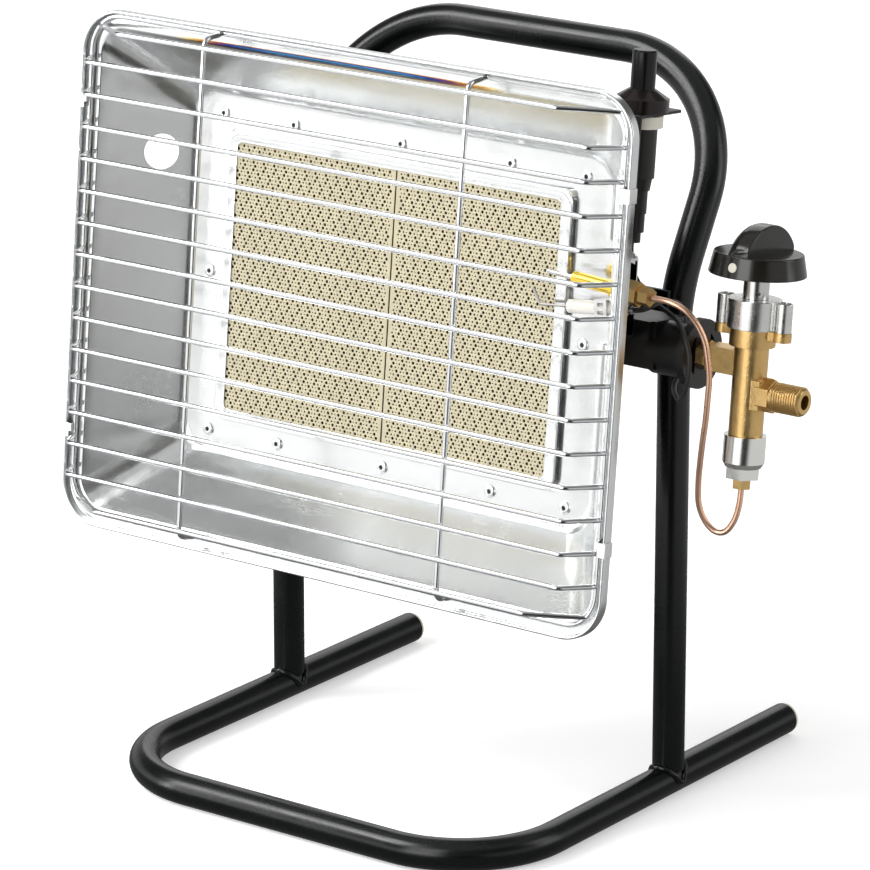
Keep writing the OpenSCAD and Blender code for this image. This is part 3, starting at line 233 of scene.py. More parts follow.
# ---------------------------------------------------------------- shared effects
class Effects:
    """Node groups that more than one finish uses, each built once."""

    def __init__(self) -> None:
        """Builds every group."""
        self.mottle = self._mottle()
        self.brushing = self._brushing()
        self.grime = self._grime()
        self.cast = self._cast()

    def _mottle(self) -> Tree:
        """Builds slow and fine changes of shade: a vector, colour, scale and amount to a shade."""
        graph, given, out = new_group(
            "mottle", "ShaderNodeTree",
            [("Vector", "Vector", None), ("Color", "Color", (0.5, 0.5, 0.5, 1.0)),
             ("Scale", "Float", 40.0), ("Amount", "Float", 0.2)],
            [("Color", "Color"), ("Value", "Float")])
        slow = graph.noise(given["Vector"], given["Scale"], 4.0)
        fine = graph.noise(given["Vector"], graph.times(given["Scale"], 9.0), 2.0)
        value = graph.plus(graph.times(slow, 0.7), graph.times(fine, 0.3))
        swing = graph.times(graph.minus(value, 0.5), given["Amount"])
        shade = graph.plus(1.0, graph.times(swing, 2.0))
        tone = graph.out("ShaderNodeCombineColor", {0: shade, 1: shade, 2: shade})
        graph.feed(out["Color"], graph.mix(1.0, given["Color"], tone, "MULTIPLY"))
        graph.feed(out["Value"], value)
        return graph.tree

    def _brushing(self) -> Tree:
        """Builds fine scratches: a stretched vector, roughness and depth to a roughness."""
        graph, given, out = new_group(
            "brushing", "ShaderNodeTree",
            [("Vector", "Vector", None), ("Roughness", "Float", 0.3), ("Depth", "Float", 0.1)],
            [("Roughness", "Float")])
        lines = graph.noise(given["Vector"], 1.0, 2.0, 0.7)
        swing = graph.times(graph.minus(lines, 0.5), given["Depth"])
        graph.feed(out["Roughness"], graph.plus(given["Roughness"], swing, clamp=True))
        return graph.tree

    def _grime(self) -> Tree:
        """Builds thin dust, mostly on faces that look up: a vector and amount to a mask."""
        graph, given, out = new_group(
            "grime", "ShaderNodeTree",
            [("Vector", "Vector", None), ("Amount", "Float", 0.1)], [("Mask", "Float")])
        normal = graph.add("ShaderNodeNewGeometry").outputs["Normal"]
        up = graph.add("ShaderNodeSeparateXYZ", {0: normal}).outputs[2]
        lying = graph.remap(up, -0.2, 1.0, 0.25, 1.0)
        patches = graph.remap(graph.noise(given["Vector"], 55.0, 5.0, 0.6), 0.35, 0.75)
        film = graph.times(lying, patches)
        graph.feed(out["Mask"], graph.math("MULTIPLY", film, given["Amount"], clamp=True))
        return graph.tree

    def _cast(self) -> Tree:
        """Builds the pebbled skin of a casting or thick paint: a vector and scale to a height."""
        graph, given, out = new_group(
            "cast_skin", "ShaderNodeTree",
            [("Vector", "Vector", None), ("Scale", "Float", 900.0)], [("Height", "Float")])
        cells = graph.out("ShaderNodeTexVoronoi", {"Vector": given["Vector"], "Scale": given["Scale"]},
                          feature="SMOOTH_F1")
        soft = graph.noise(given["Vector"], given["Scale"], 2.0)
        graph.feed(out["Height"], graph.times(graph.plus(cells, soft), 0.5))
        return graph.tree


# ---------------------------------------------------------------- finishes
class Grain(Enum):
    """Which way the fine lines of a metal run."""

    NONE = (1.0, 1.0, 1.0)
    LENGTHWISE = (30.0, 2600.0, 2600.0)
    UPRIGHT = (2600.0, 2600.0, 40.0)
    ROUND = (900.0, 900.0, 5200.0)


ROUGHNESS_SWING = (0.85, 1.2)
DUST_DULLS = 0.5
COAT_ROUGHNESS = 0.06


@dataclass
class Surface:
    """A material in the making: its graph, Object coordinates, colour and roughness so far."""

    graph: Graph
    place: Socket
    colour: Socket
    roughness: Socket


@dataclass(frozen=True)
class Finish:
    """A painted, moulded, plated or bare surface.

    Attributes:
        name: The material's name.
        colour: Its colour, linear.
        roughness: How dull it is.
        metallic: 1 for bare metal.
        mottled: How far its shade wanders.
        mottle_scale: Waves of shade per metre.
        dust: How much dust it holds.
        dust_colour: The colour of that dust.
        skin: Depth of its pebbled skin, in metres.
        skin_scale: Pebbles per metre.
        grain: The run of its fine lines.
        grain_depth: How far those lines change the roughness.
        coat: Weight of a clear top coat.
        specular: Strength of the plain reflection.
    """

    name: str
    colour: Colour
    roughness: float
    metallic: float = 0.0
    mottled: float = 0.15
    mottle_scale: float = 45.0
    dust: float = 0.0
    dust_colour: Colour = (0.35, 0.32, 0.28)
    skin: float = 0.0
    skin_scale: float = 900.0
    grain: Grain = Grain.NONE
    grain_depth: float = 0.0
    coat: float = 0.0
    specular: float = 0.5

    def build(self, effects: Effects) -> Material:
        """Makes the material.

        Args:
            effects: The shared node groups.

        Returns:
            The material.
        """
        material = bpy.data.materials.new(self.name)
        material.use_nodes = True
        graph = Graph(material.node_tree)
        shader = material.node_tree.nodes["Principled BSDF"]
        place = graph.add("ShaderNodeTexCoord").outputs["Object"]
        shade = graph.add("ShaderNodeGroup", {"Vector": place, "Color": self.colour,
                                              "Scale": self.mottle_scale, "Amount": self.mottled},
                          node_tree=effects.mottle)
        smooth, dull = (self.roughness * share for share in ROUGHNESS_SWING)
        rough = graph.remap(shade.outputs["Value"], 0.3, 0.7, smooth, min(1.0, dull))
        surface = Surface(graph, place, shade.outputs["Color"], rough)
        if self.grain is not Grain.NONE:
            line = graph.out("ShaderNodeMapping", {0: place, "Scale": self.grain.value})
            brushed = {"Vector": line, "Roughness": surface.roughness, "Depth": self.grain_depth}
            surface.roughness = graph.out("ShaderNodeGroup", brushed, node_tree=effects.brushing)
        if self.dust > 0:
            film = graph.out("ShaderNodeGroup", {"Vector": place, "Amount": self.dust},
                             node_tree=effects.grime)
            surface.colour = graph.mix(film, surface.colour, self.dust_colour)
            surface.roughness = graph.plus(surface.roughness, graph.times(film, DUST_DULLS), clamp=True)
        self.special(surface)
        if self.skin > 0:
            pebbles = graph.out("ShaderNodeGroup", {"Vector": place, "Scale": self.skin_scale},
                                node_tree=effects.cast)
            graph.feed(shader.inputs["Normal"], graph.out("ShaderNodeBump", {
                "Strength": 1.0, "Distance": self.skin, "Height": pebbles}))
        graph.feed(shader.inputs["Base Color"], surface.colour)
        graph.feed(shader.inputs["Roughness"], surface.roughness)
        shader.inputs["Metallic"].default_value = self.metallic
        shader.inputs["Coat Weight"].default_value = self.coat
        shader.inputs["Coat Roughness"].default_value = COAT_ROUGHNESS
        shader.inputs["Specular IOR Level"].default_value = self.specular
        return material

    def special(self, surface: Surface) -> None:
        """Leaves the surface as it is; a finish of its own kind changes it."""


def head_place(surface: Surface, axis: int) -> Socket:
    """Turns object coordinates into one coordinate of the tilted head, in metres.

    Args:
        surface: The material in the making.
        axis: 0 for sideways, 1 for depth, 2 for height.

    Returns:
        The output socket.
    """
    head = HeadFrame()
    moved = surface.graph.out("ShaderNodeVectorMath", {0: surface.place, 1: -head.origin}, operation="ADD")
    return surface.graph.add("ShaderNodeVectorMath", {0: moved, 1: tuple(head.axis(axis))},
                          operation="DOT_PRODUCT").outputs["Value"]


@dataclass(frozen=True)
class Metal(Finish):
    """Bare or plated metal."""

    metallic: float = 1.0


@dataclass(frozen=True)
class HeatedSheet(Metal):
    """Stainless sheet with the colours that heat leaves along the top edge of its mouth.

    Attributes:
        tint_reach: How far sideways the colours reach, in metres.
        tint_shift: How far left of the middle they are strongest.
        tint_wander: How unevenly they end.
        tint_up: Height of the mouth's top edge above the head's axis.
        tint_width: Width of the band on each side of that edge.
        tint_core: Width of its strongest part on each side.
        tones: Heat and colour of each step, from straw to blue.
    """

    tint_reach: float = 0.112
    tint_shift: float = 0.012
    tint_wander: float = 0.03
    tint_up: float = 0.1205
    tint_width: float = 0.0019
    tint_core: float = 0.0006
    tones: tuple[tuple[float, Colour], ...] = (
        (0.08, (1.0, 1.0, 1.0)), (1.0, (0.08, 0.24, 0.46)), (0.22, (0.95, 0.72, 0.3)),
        (0.36, (0.6, 0.24, 0.07)), (0.5, (0.26, 0.07, 0.16)), (0.7, (0.03, 0.07, 0.3)))

    def special(self, surface: Surface) -> None:
        """Adds straw, brown, purple and blue in a narrow band.

        Args:
            surface: The material in the making.
        """
        graph, place = surface.graph, surface.place
        aside, up = (head_place(surface, axis) for axis in (0, 2))
        shifted = graph.math("ABSOLUTE", graph.plus(aside, self.tint_shift))
        wander = graph.times(graph.minus(graph.noise(place, 30.0, 3.0), 0.5), self.tint_wander)
        sideways = graph.remap(graph.plus(shifted, wander), self.tint_reach, self.tint_reach * 0.3)
        upright = graph.band(up, self.tint_up - self.tint_width, self.tint_up - self.tint_core,
                             self.tint_up + self.tint_core, self.tint_up + self.tint_width)
        ramp = graph.add("ShaderNodeValToRGB", {0: graph.times(sideways, upright)})
        stops = ramp.color_ramp.elements
        for index, (heat, tone) in enumerate(self.tones):
            stop = stops[index] if index < 2 else stops.new(heat)
            stop.position, stop.color = heat, (*tone, 1.0)
        surface.colour = graph.mix(1.0, surface.colour, ramp.outputs[0], "MULTIPLY")
        smear = graph.remap(graph.noise(place, 14.0, 4.0, 0.6), 0.35, 0.7, 0.0, 0.08)
        surface.roughness = graph.plus(surface.roughness, smear, clamp=True)


@dataclass(frozen=True)
class HoleShadedCeramic(Finish):
    """Unglazed burner plate, with painted shade, dark brown, a little way down inside its holes.

    Attributes:
        face_depth: Depth of the plate's face behind the rim, in metres.
        hole_shade_colour: The painted shade a little way down a hole.
    """

    face_depth: float = 0.044
    hole_shade_colour: Colour = (0.05, 0.022, 0.006)

    def special(self, surface: Surface) -> None:
        """Paints shade on the clay, from its face into the holes.

        Args:
            surface: The material in the making.
        """
        depth = head_place(surface, 1)
        # Painted shade: the clay turns dark brown from the plate's face down into each hole.
        inside = surface.graph.remap(depth, self.face_depth + 0.00005, self.face_depth + 0.0008)
        surface.colour = surface.graph.mix(inside, surface.colour, self.hole_shade_colour)


# ---------------------------------------------------------------- places and meshes
@dataclass(frozen=True)
class HeadFrame:
    """The head's own frame, which leans back on the stand."""

    tilt: float = 5.9
    origin_y: float = -114.776
    origin_z: float = 250.7

    @property
    def origin(self) -> Vector:
        """The middle of the rim plane, in metres."""
        return Vector((0.0, self.origin_y, self.origin_z)) * MM

    def axis(self, index: int) -> Vector:
        """One axis of the head: 0 sideways, 1 back, 2 up."""
        turned = Matrix.Rotation(-math.radians(self.tilt), 3, "X")
        return turned @ Vector([float(index == i) for i in range(3)])

    def matrix(self, sideways: float = 0.0, depth: float = 0.0, up: float = 0.0) -> Matrix:
        """Gives the step from millimetres on the head, from a chosen place, to the scene."""
        turned = Matrix.Rotation(-math.radians(self.tilt), 4, "X")
        return (Matrix.Translation(self.origin) @ turned @ Matrix.Scale(MM, 4)
                @ Matrix.Translation((sideways, depth, up)))


def finished(name: str, bm: Shape, matrix: Matrix, material: Material,
             sharp: float = 32.0) -> Piece:
    """Turns a bmesh into an object whose place is in its mesh.

    Args:
        name: The piece's name.
        bm: The shape, in the units that matrix takes. It is freed.
        matrix: The step to the scene, in metres.
        material: The finish.
        sharp: Edges that turn by more than this many degrees stay sharp.

    Returns:
        The linked object.
    """
    bmesh.ops.transform(bm, matrix=matrix, verts=bm.verts)
    bmesh.ops.recalc_face_normals(bm, faces=bm.faces)
    mesh = bpy.data.meshes.new(name)
    bm.to_mesh(mesh)
    bm.free()
    return placed(name, mesh, material, sharp)


def placed(name: str, mesh: bpy.types.Mesh, material: Material,
           sharp: float = 32.0) -> Piece:
    """Links a mesh as a smooth object with one finish.

    Args:
        name: The piece's name.
        mesh: The mesh, in place.
        material: The finish.
        sharp: Edges that turn by more than this many degrees stay sharp.

    Returns:
        The linked object.
    """
    mesh.materials.clear()
    mesh.materials.append(material)
    mesh.shade_smooth()
    mesh.set_sharp_from_angle(angle=math.radians(sharp))
    piece = bpy.data.objects.new(name, mesh)
    bpy.context.scene.collection.objects.link(piece)
    return piece


def baked(carrier: Piece, name: str, material: Material,
          sharp: float = 32.0) -> Piece:
    """Turns an object with modifiers into a plain one, and removes the first.

    Args:
        carrier: The object with its modifiers.
        name: The new piece's name.
        material: The finish.
        sharp: Edges that turn by more than this many degrees stay sharp.

    Returns:
        The plain object.
    """
    seen = carrier.evaluated_get(bpy.context.evaluated_depsgraph_get())
    mesh = bpy.data.meshes.new_from_object(seen)
    mesh.transform(carrier.matrix_world)
    carrier.modifiers.clear()
    bpy.data.objects.remove(carrier)
    return placed(name, mesh, material, sharp)


def grown(name: str, tree: Tree, values: dict[str, object], matrix: Matrix,
          material: Material, sharp: float = 32.0,
          start: bpy.types.Mesh | None = None) -> Piece:
    """Runs a geometry tree and keeps its mesh.

    Args:
        name: The piece's name.
        tree: The geometry tree.
        values: The tree's inputs by their names.
        matrix: The step from the tree's units to the scene.
        material: The finish.
        sharp: Edges that turn by more than this many degrees stay sharp.
        start: The mesh that the tree takes, if it takes one.

    Returns:
        The plain object.
    """
    carrier = bpy.data.objects.new(name + "_carrier", start or bpy.data.meshes.new(name + "_carrier"))
    bpy.context.scene.collection.objects.link(carrier)
    modifier = carrier.modifiers.new("grow", "NODES")
    modifier.node_group = tree
    for item in tree.interface.items_tree:
        if item.in_out == "INPUT" and item.name in values:
            modifier[item.identifier] = values[item.name]
    carrier.matrix_world = matrix
    bpy.context.view_layer.update()
    return baked(carrier, name, material, sharp)


def skinned(rings: Sequence[Sequence[Vector]], looped: bool = False) -> Shape:
    """Joins rings of equally many points into a closed skin.

    Args:
        rings: The rings, in order.
        looped: Whether the last ring joins the first; if not, both ends get a face.

    Returns:
        The bmesh.
    """
    bm = bmesh.new()
    rows = [[bm.verts.new(point) for point in ring] for ring in rings]
    count = len(rows[0])
    pairs = list(zip(rows, rows[1:] + rows[:1] if looped else rows[1:]))
    for low, high in pairs:
        for i in range(count):
            j = (i + 1) % count
            bm.faces.new((low[i], low[j], high[j], high[i]))
    if not looped:
        bm.faces.new(list(reversed(rows[0])))
        bm.faces.new(rows[-1])
    return bm


def rounded_ring(width: float, height: float, radius: float, depth: float, corner: int = 8,
                 across: int = 1, upright: int = 1) -> Ring:
    """Lists a rounded rectangle in the head's frame, anticlockwise from the right side's foot.

    Args:
        width: Its width.
        height: Its height.
        radius: Its corner radius.
        depth: Its depth behind the rim.
        corner: Steps round each corner.
        across: Steps along the top and the bottom.
        upright: Steps along each side.

    Returns:
        The points.
    """
    half_w, half_h = width / 2 - radius, height / 2 - radius
    corners = [(half_w, half_h, 0), (-half_w, half_h, 90), (-half_w, -half_h, 180), (half_w, -half_h, 270)]
    ring: Ring = []
    for index, (x, z, turn) in enumerate(corners):
        for step in range(corner + 1):
            angle = math.radians(turn + 90 * step / corner)
            ring.append(Vector((x + radius * math.cos(angle), depth, z + radius * math.sin(angle))))
        ahead = corners[(index + 1) % 4]
        first = math.radians(ahead[2])
        goal = Vector((ahead[0] + radius * math.cos(first), depth, ahead[1] + radius * math.sin(first)))
        steps = across if index % 2 == 0 else upright
        start = ring[-1]
        ring.extend(start.lerp(goal, k / steps) for k in range(1, steps))
    return ring


def turned(profile: Line, sides: int = 48) -> Shape:
    """Turns a profile about Z into a closed skin.

    Args:
        profile: Radius and height of each point, from the foot to the top.
        sides: Steps round.

    Returns:
        The bmesh.
    """
    rings = [[Vector((radius * math.cos(math.tau * k / sides), radius * math.sin(math.tau * k / sides), z))
              for k in range(sides)] for radius, z in profile]
    return skinned(rings)


def swept(path: Sequence[Vector], radius: float, sides: int = 20) -> Shape:
    """Carries a circle along a path without twisting it.

    Args:
        path: The points of the middle line.
        radius: The circle's radius.
        sides: Steps round.

    Returns:
        The bmesh.
    """
    rings: list[Ring] = []
    normal = Vector((0.31, 0.52, 0.8))
    for index, point in enumerate(path):
        ahead = path[min(index + 1, len(path) - 1)] - path[max(index - 1, 0)]
        heading = ahead.normalized()
        normal = (normal - heading * normal.dot(heading)).normalized()
        side = heading.cross(normal)
        rings.append([point + radius * (math.cos(math.tau * k / sides) * normal
                                        + math.sin(math.tau * k / sides) * side)
                      for k in range(sides)])
    return skinned(rings)


def smoothed(points: Sequence[Place], steps: int) -> Ring:
    """Draws a smooth curve through points.

    Args:
        points: The points.
        steps: Pieces between two of them.

    Returns:
        The curve's points.
    """
    given = [Vector(p) for p in points]
    curve = []
    for i in range(len(given) - 1):
        a, b = given[max(i - 1, 0)], given[i]
        c, d = given[i + 1], given[min(i + 2, len(given) - 1)]
        for k in range(steps):
            t = k / steps
            curve.append(0.5 * (2 * b + (c - a) * t + (2 * a - 5 * b + 4 * c - d) * t * t
                                + (3 * b - a - 3 * c + d) * t ** 3))
    return curve + [given[-1]]


def smooth_step(low: float, high: float, value: float) -> float:
    """Rises from 0 at low to 1 at high, level at both ends."""
    t = min(1.0, max(0.0, (value - low) / (high - low)))
    return t * t * (3 - 2 * t)


def mirrored(half: Ring) -> Ring:
    """Adds the mirror image of a path's right half."""
    return half + [Vector((-p.x, p.y, p.z)) for p in reversed(half)]


def softened(node: str, width: float, segments: int = 2) -> None:
    """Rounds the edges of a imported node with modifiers, which leave its mesh as it is.

    Args:
        node: The node's name.
        width: Width of the rounding.
        segments: Steps across it.
    """
    piece = bpy.data.objects[node]
    weld = piece.modifiers.new("weld", "WELD")
    weld.merge_threshold = WELD_REACH * MM
    bevel = piece.modifiers.new("soften", "BEVEL")
    bevel.width = width * MM
    bevel.segments = segments
    bevel.limit_method = "ANGLE"
    bevel.angle_limit = math.radians(ROUNDED_FROM)
    bevel.miter_outer = "MITER_ARC"
    bevel.use_clamp_overlap = True
    piece.modifiers.new("level", "WEIGHTED_NORMAL").keep_sharp = True


# ---------------------------------------------------------------- workshop
@dataclass
class Workshop:
    """What every sub-assembly needs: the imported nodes, the finishes and the head's frame."""

    nodes: dict[str, Piece]
    effects: Effects = field(default_factory=Effects)
    head: HeadFrame = field(default_factory=HeadFrame)
    built: dict[str, Material] = field(default_factory=dict)

    def material(self, finish: Finish) -> Material:
        """Gives a finish's material, and makes it the first time."""
        if finish.name not in self.built:
            self.built[finish.name] = finish.build(self.effects)
        return self.built[finish.name]

    def dress(self, finish: Finish, **rounding: float) -> None:
        """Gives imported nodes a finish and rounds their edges.

        Args:
            finish: The finish.
            **rounding: Each node's name and the width of its rounding, 0 for none.
        """
        for name, width in rounding.items():
            mesh = self.nodes[name].data
            mesh.materials.clear()
            mesh.materials.append(self.material(finish))
            if width > 0:
                softened(name, width)

    def keep(self, piece: Piece, body: str = HEATER, stands_for: str = "") -> None:
        """Makes a new piece ride on a body.

        Args:
            piece: The piece.
            body: The body it moves with.
            stands_for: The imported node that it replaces, if any.
        """
        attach(piece, body)
        if stands_for:
            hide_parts(stands_for)
        LOG.info("%s: %d faces", piece.name, len(piece.data.polygons))

    def spring(self, node: str, body: str) -> None:
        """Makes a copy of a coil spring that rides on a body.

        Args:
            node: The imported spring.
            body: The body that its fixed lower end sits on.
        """
        mesh = self.nodes[node].data.copy()
        mesh.transform(self.nodes[node].matrix_world)
        lay = self.head.matrix()
        piece = placed(node + "_coil", mesh, self.material(STEEL), 40)
        self.keep(piece, body, node)
        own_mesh(piece)


PAINT = Finish("black_frame_paint", (0.0016, 0.0024, 0.0025), 0.25, mottled=0.1, dust=0.006,
    skin=0.00002, skin_scale=260.0, specular=0.42)
PLUG = Finish("ivory_plug", (0.72, 0.68, 0.56), 0.45, mottled=0.08)
ZINC = Metal("zinc_plate", (0.62, 0.63, 0.64), 0.3, mottled=0.12, grain=Grain.UPRIGHT, grain_depth=0.15)
STAINLESS = HeatedSheet("stainless_sheet", (0.76, 0.77, 0.77), 0.19, mottled=0.05, mottle_scale=18.0,
    grain=Grain.LENGTHWISE, grain_depth=0.1)
FRAME_SHEET = Metal("burner_frame_sheet", (0.8, 0.81, 0.81), 0.13, mottled=0.05, grain=Grain.LENGTHWISE,
    grain_depth=0.08)
CERAMIC = HoleShadedCeramic("ceramic_plate", (0.6, 0.545, 0.385), 0.85, mottled=0.16, mottle_scale=160.0,
    skin=0.00008, skin_scale=2600.0, specular=0.25)
FIBRE = Finish("fibre_strip", (0.78, 0.76, 0.7), 0.95, mottled=0.2, mottle_scale=400.0, skin=0.0002,
    skin_scale=1500.0)
IRON = Finish("black_casting", (0.0085, 0.0075, 0.0072), 0.32, mottled=0.25, mottle_scale=90.0,
    dust=0.02, skin=0.00006, skin_scale=1300.0, specular=0.4)
RIVET = Metal("rivet_aluminium", (0.8, 0.81, 0.82), 0.24, mottled=0.1, mottle_scale=300.0)
CHROME = Metal("guard_chrome", (0.7, 0.71, 0.72), 0.09, mottled=0.06, mottle_scale=120.0)
CLIP = Metal("clip_steel", (0.8, 0.8, 0.79), 0.3, mottled=0.1, mottle_scale=200.0)
BRASS = Metal("forged_brass", (0.7, 0.47, 0.19), 0.34, mottled=0.24, mottle_scale=240.0, skin=0.00012,
    skin_scale=1000.0)
GOLD = Metal("turned_brass", (0.86, 0.6, 0.1), 0.2, mottled=0.12, mottle_scale=300.0, grain=Grain.ROUND,
    grain_depth=0.1)
# Painted shade: the rivets' broken stems are real parts, but near black so that the rivets' holes look
# shaded.
SHADED_MANDREL = Finish("rivet_stem_shade", (0.03, 0.03, 0.028), 0.6, metallic=0.4, mottled=0.3, mottle_scale=900.0)
BONNET = Metal("bonnet_zinc", (0.72, 0.72, 0.7), 0.24, mottled=0.16, mottle_scale=140.0,
    grain=Grain.UPRIGHT, grain_depth=0.22)
STEEL = Metal("bright_steel", (0.66, 0.66, 0.65), 0.2, mottled=0.14, mottle_scale=220.0,
    grain=Grain.ROUND, grain_depth=0.1)
MAGNET = Metal("magnet_steel", (0.4, 0.38, 0.36), 0.4, mottled=0.2)
HOUSING = Metal("turned_aluminium", (0.9, 0.9, 0.86), 0.2, mottled=0.06, grain=Grain.ROUND,
    grain_depth=0.14)
COPPER = Metal("copper_lead", (0.97, 0.6, 0.42), 0.3, mottled=0.16, mottle_scale=110.0)
KNOB_FINISH = Finish("knob_plastic", (0.0085, 0.0075, 0.0055), 0.17, mottled=0.2, dust=0.02)
HOOD = Finish("hood_plastic", (0.0075, 0.0045, 0.0036), 0.17, mottled=0.25, dust=0.012, specular=0.42)
BUTTON = Finish("button_plastic", (0.0035, 0.0038, 0.0038), 0.22, mottled=0.2, dust=0.01, specular=0.35)
BODY_PLASTIC = Finish("body_plastic", (0.012, 0.0105, 0.009), 0.36, mottled=0.2, dust=0.03, specular=0.4)
WHITE = Finish("white_plastic", (0.76, 0.73, 0.63), 0.4, mottled=0.1)
GLAZE = Finish("glazed_ceramic", (0.82, 0.8, 0.74), 0.18, mottled=0.06, coat=0.5)
RUBBER = Finish("lead_rubber", (0.018, 0.017, 0.017), 0.5, mottled=0.25, dust=0.05)


# ---------------------------------------------------------------- studio
@dataclass
class Studio:
    """Camera, lamps, world and floor.

    Attributes:
        lens: The camera's focal length.
        camera_place: Where the camera stands.
        camera_azimuth: How far it is turned, in degrees.
        camera_elevation: How far it looks down, in degrees.
        lamps: Each lamp's name, azimuth, elevation, distance, width, height and brightness.
        floor_radius: The floor's radius.
        board: Azimuths between which bright boards stand, with their soft ends.
        curtain: Azimuths between which a dark curtain hangs, with its soft ends.
        gap: Heights between which the ceiling is darker, with their soft ends.
        horizon: Heights where the walls end and the ceiling begins.
        shade_reach: Distance over which polished metal sees a painted shadow of the heater on the floor, in
            metres.
    """

    lens: float = 207.7
    camera_place: Place = (1405.8, -1940.0, 901.0)
    camera_azimuth: float = 36.4
    camera_elevation: float = 17.1
    lamps: tuple[tuple[str | float, ...], ...] = (
        ("key", 2.0, 24.0, 3.0, 1.5, 2.4, 3.3), ("strip", -46.0, 18.0, 2.6, 0.32, 2.2, 11.0),
        ("top", -42.0, 47.0, 3.2, 1.5, 1.3, 7.5), ("side", 118.0, 22.0, 3.4, 1.4, 2.4, 1.8),
        ("rear", -150.0, 30.0, 3.6, 2.4, 2.0, 1.3))
    floor_radius: float = 9000.0
    floor_colour: Colour = (0.86, 0.86, 0.86)
    board: tuple[float, ...] = (-95.0, -60.0, 15.0, 24.0)
    curtain: tuple[float, ...] = (15.0, 24.0, 46.0, 68.0)
    gap: tuple[float, ...] = (0.26, 0.4, 0.74, 0.79)
    horizon: tuple[float, float] = (0.24, 0.36)
    board_light: float = 1.25
    wall_light: float = 0.62
    curtain_light: float = 0.03
    ceiling_light: float = 0.46
    gap_depth: float = 0.34
    shade_light: float = 0.17
    shade_reach: float = 0.6
    fill_light: float = 0.42
    floor_glow: float = 0.42

    def camera(self) -> None:
        """Sets the camera up."""
        data = bpy.data.cameras.new("camera")
        data.lens = self.lens
        data.clip_end = 60.0
        camera = bpy.data.objects.new("camera", data)
        camera.location = Vector(self.camera_place) * MM
        camera.rotation_euler = (math.radians(90 - self.camera_elevation), 0.0,
                                 math.radians(self.camera_azimuth))
        bpy.context.scene.collection.objects.link(camera)
        bpy.context.scene.camera = camera

    def lamp(self, name: str, azimuth: float, elevation: float, distance: float, width: float,
             height: float, radiance: float) -> None:
        """Hangs a soft box that looks at the heater.

        Args:
            name: The lamp's name.
            azimuth: Where it hangs, in degrees from the heater's front towards its valve.
            elevation: How high it hangs, in degrees.
            distance: How far from the heater, in metres.
            width: Its width, in metres.
            height: Its height, in metres.
            radiance: Its brightness, where 1 is white.
        """
        data = bpy.data.lights.new(name, "AREA")
        data.shape = "RECTANGLE"
        data.size, data.size_y = width, height
        data.energy = radiance * width * height * math.pi
        lamp = bpy.data.objects.new(name, data)
        turn, rise = math.radians(azimuth), math.radians(elevation)
        away = Vector((math.sin(turn) * math.cos(rise), -math.cos(turn) * math.cos(rise), math.sin(rise)))
        lamp.location = Vector((0.0, 0.0, 0.22)) + away * distance
        lamp.rotation_euler = (-away).to_track_quat("-Z", "Y").to_euler()
        bpy.context.scene.collection.objects.link(lamp)

    def hall(self, graph: Graph, way: Socket) -> Socket:
        """Builds how bright the room looks to polished metal, by the azimuth of a direction.

        Args:
            graph: The world's or the floor's graph.
            way: The direction from the heater.

        Returns:
            The brightness.
        """
        parts = graph.add("ShaderNodeSeparateXYZ", {0: way})
        turn = graph.math("ARCTAN2", parts.outputs[0], graph.times(parts.outputs[1], -1.0))
        degrees = graph.times(turn, 180 / math.pi)
        board = graph.band(degrees, *self.board)
        curtain = graph.band(degrees, *self.curtain)
        plain = graph.plus(self.wall_light, graph.times(board, self.board_light - self.wall_light))
        return graph.minus(plain, graph.times(curtain, self.wall_light - self.curtain_light))

    def world(self) -> None:
        """Makes the world white to the camera, and a room with a dark curtain to polished metal."""
        world = bpy.data.worlds.new("studio")
        world.use_nodes = True
        bpy.context.scene.world = world
        graph = Graph(world.node_tree)
        world.node_tree.nodes.clear()
        way = graph.add("ShaderNodeTexCoord").outputs["Generated"]
        up = graph.add("ShaderNodeSeparateXYZ", {0: way}).outputs[2]
        above = graph.minus(self.ceiling_light, graph.times(graph.band(up, *self.gap), self.gap_depth))
        shown = graph.mix(graph.remap(up, *self.horizon), self.hall(graph, way), above)
        rays = graph.add("ShaderNodeLightPath")
        glossy = graph.mix(rays.outputs["Is Glossy Ray"], (self.fill_light,) * 3, shown)
        seen = graph.math("MAXIMUM", rays.outputs["Is Camera Ray"], rays.outputs["Is Transmission Ray"])
        colour = graph.mix(seen, glossy, (1.0, 1.0, 1.0))
        background = graph.out("ShaderNodeBackground", {"Color": colour, "Strength": 1.0})
        graph.add("ShaderNodeOutputWorld", {"Surface": background})

    def floor(self) -> None:
        """Lays the pale floor, which keeps the heater's shadow.

        Polished metal sees it as it sees the room's walls, with a painted shadow of the heater near its
        middle.
        """
        bm = bmesh.new()
        bmesh.ops.create_circle(bm, cap_ends=True, segments=64, radius=self.floor_radius * MM)
        material = bpy.data.materials.new("pale_floor")
        material.use_nodes = True
        graph = Graph(material.node_tree)
        nodes = material.node_tree.nodes
        shader = nodes["Principled BSDF"]
        rays = graph.add("ShaderNodeLightPath")
        glow = graph.times(rays.outputs["Is Camera Ray"], self.floor_glow)
        for name, value in (("Base Color", self.floor_colour), ("Roughness", 0.9),
                            ("Specular IOR Level", 0.1), ("Emission Color", (1.0, 1.0, 1.0)),
                            ("Emission Strength", glow)):
            graph.feed(shader.inputs[name], value)
        place = graph.add("ShaderNodeTexCoord").outputs["Object"]
        apart = graph.add("ShaderNodeVectorMath", {0: place}, operation="LENGTH").outputs["Value"]
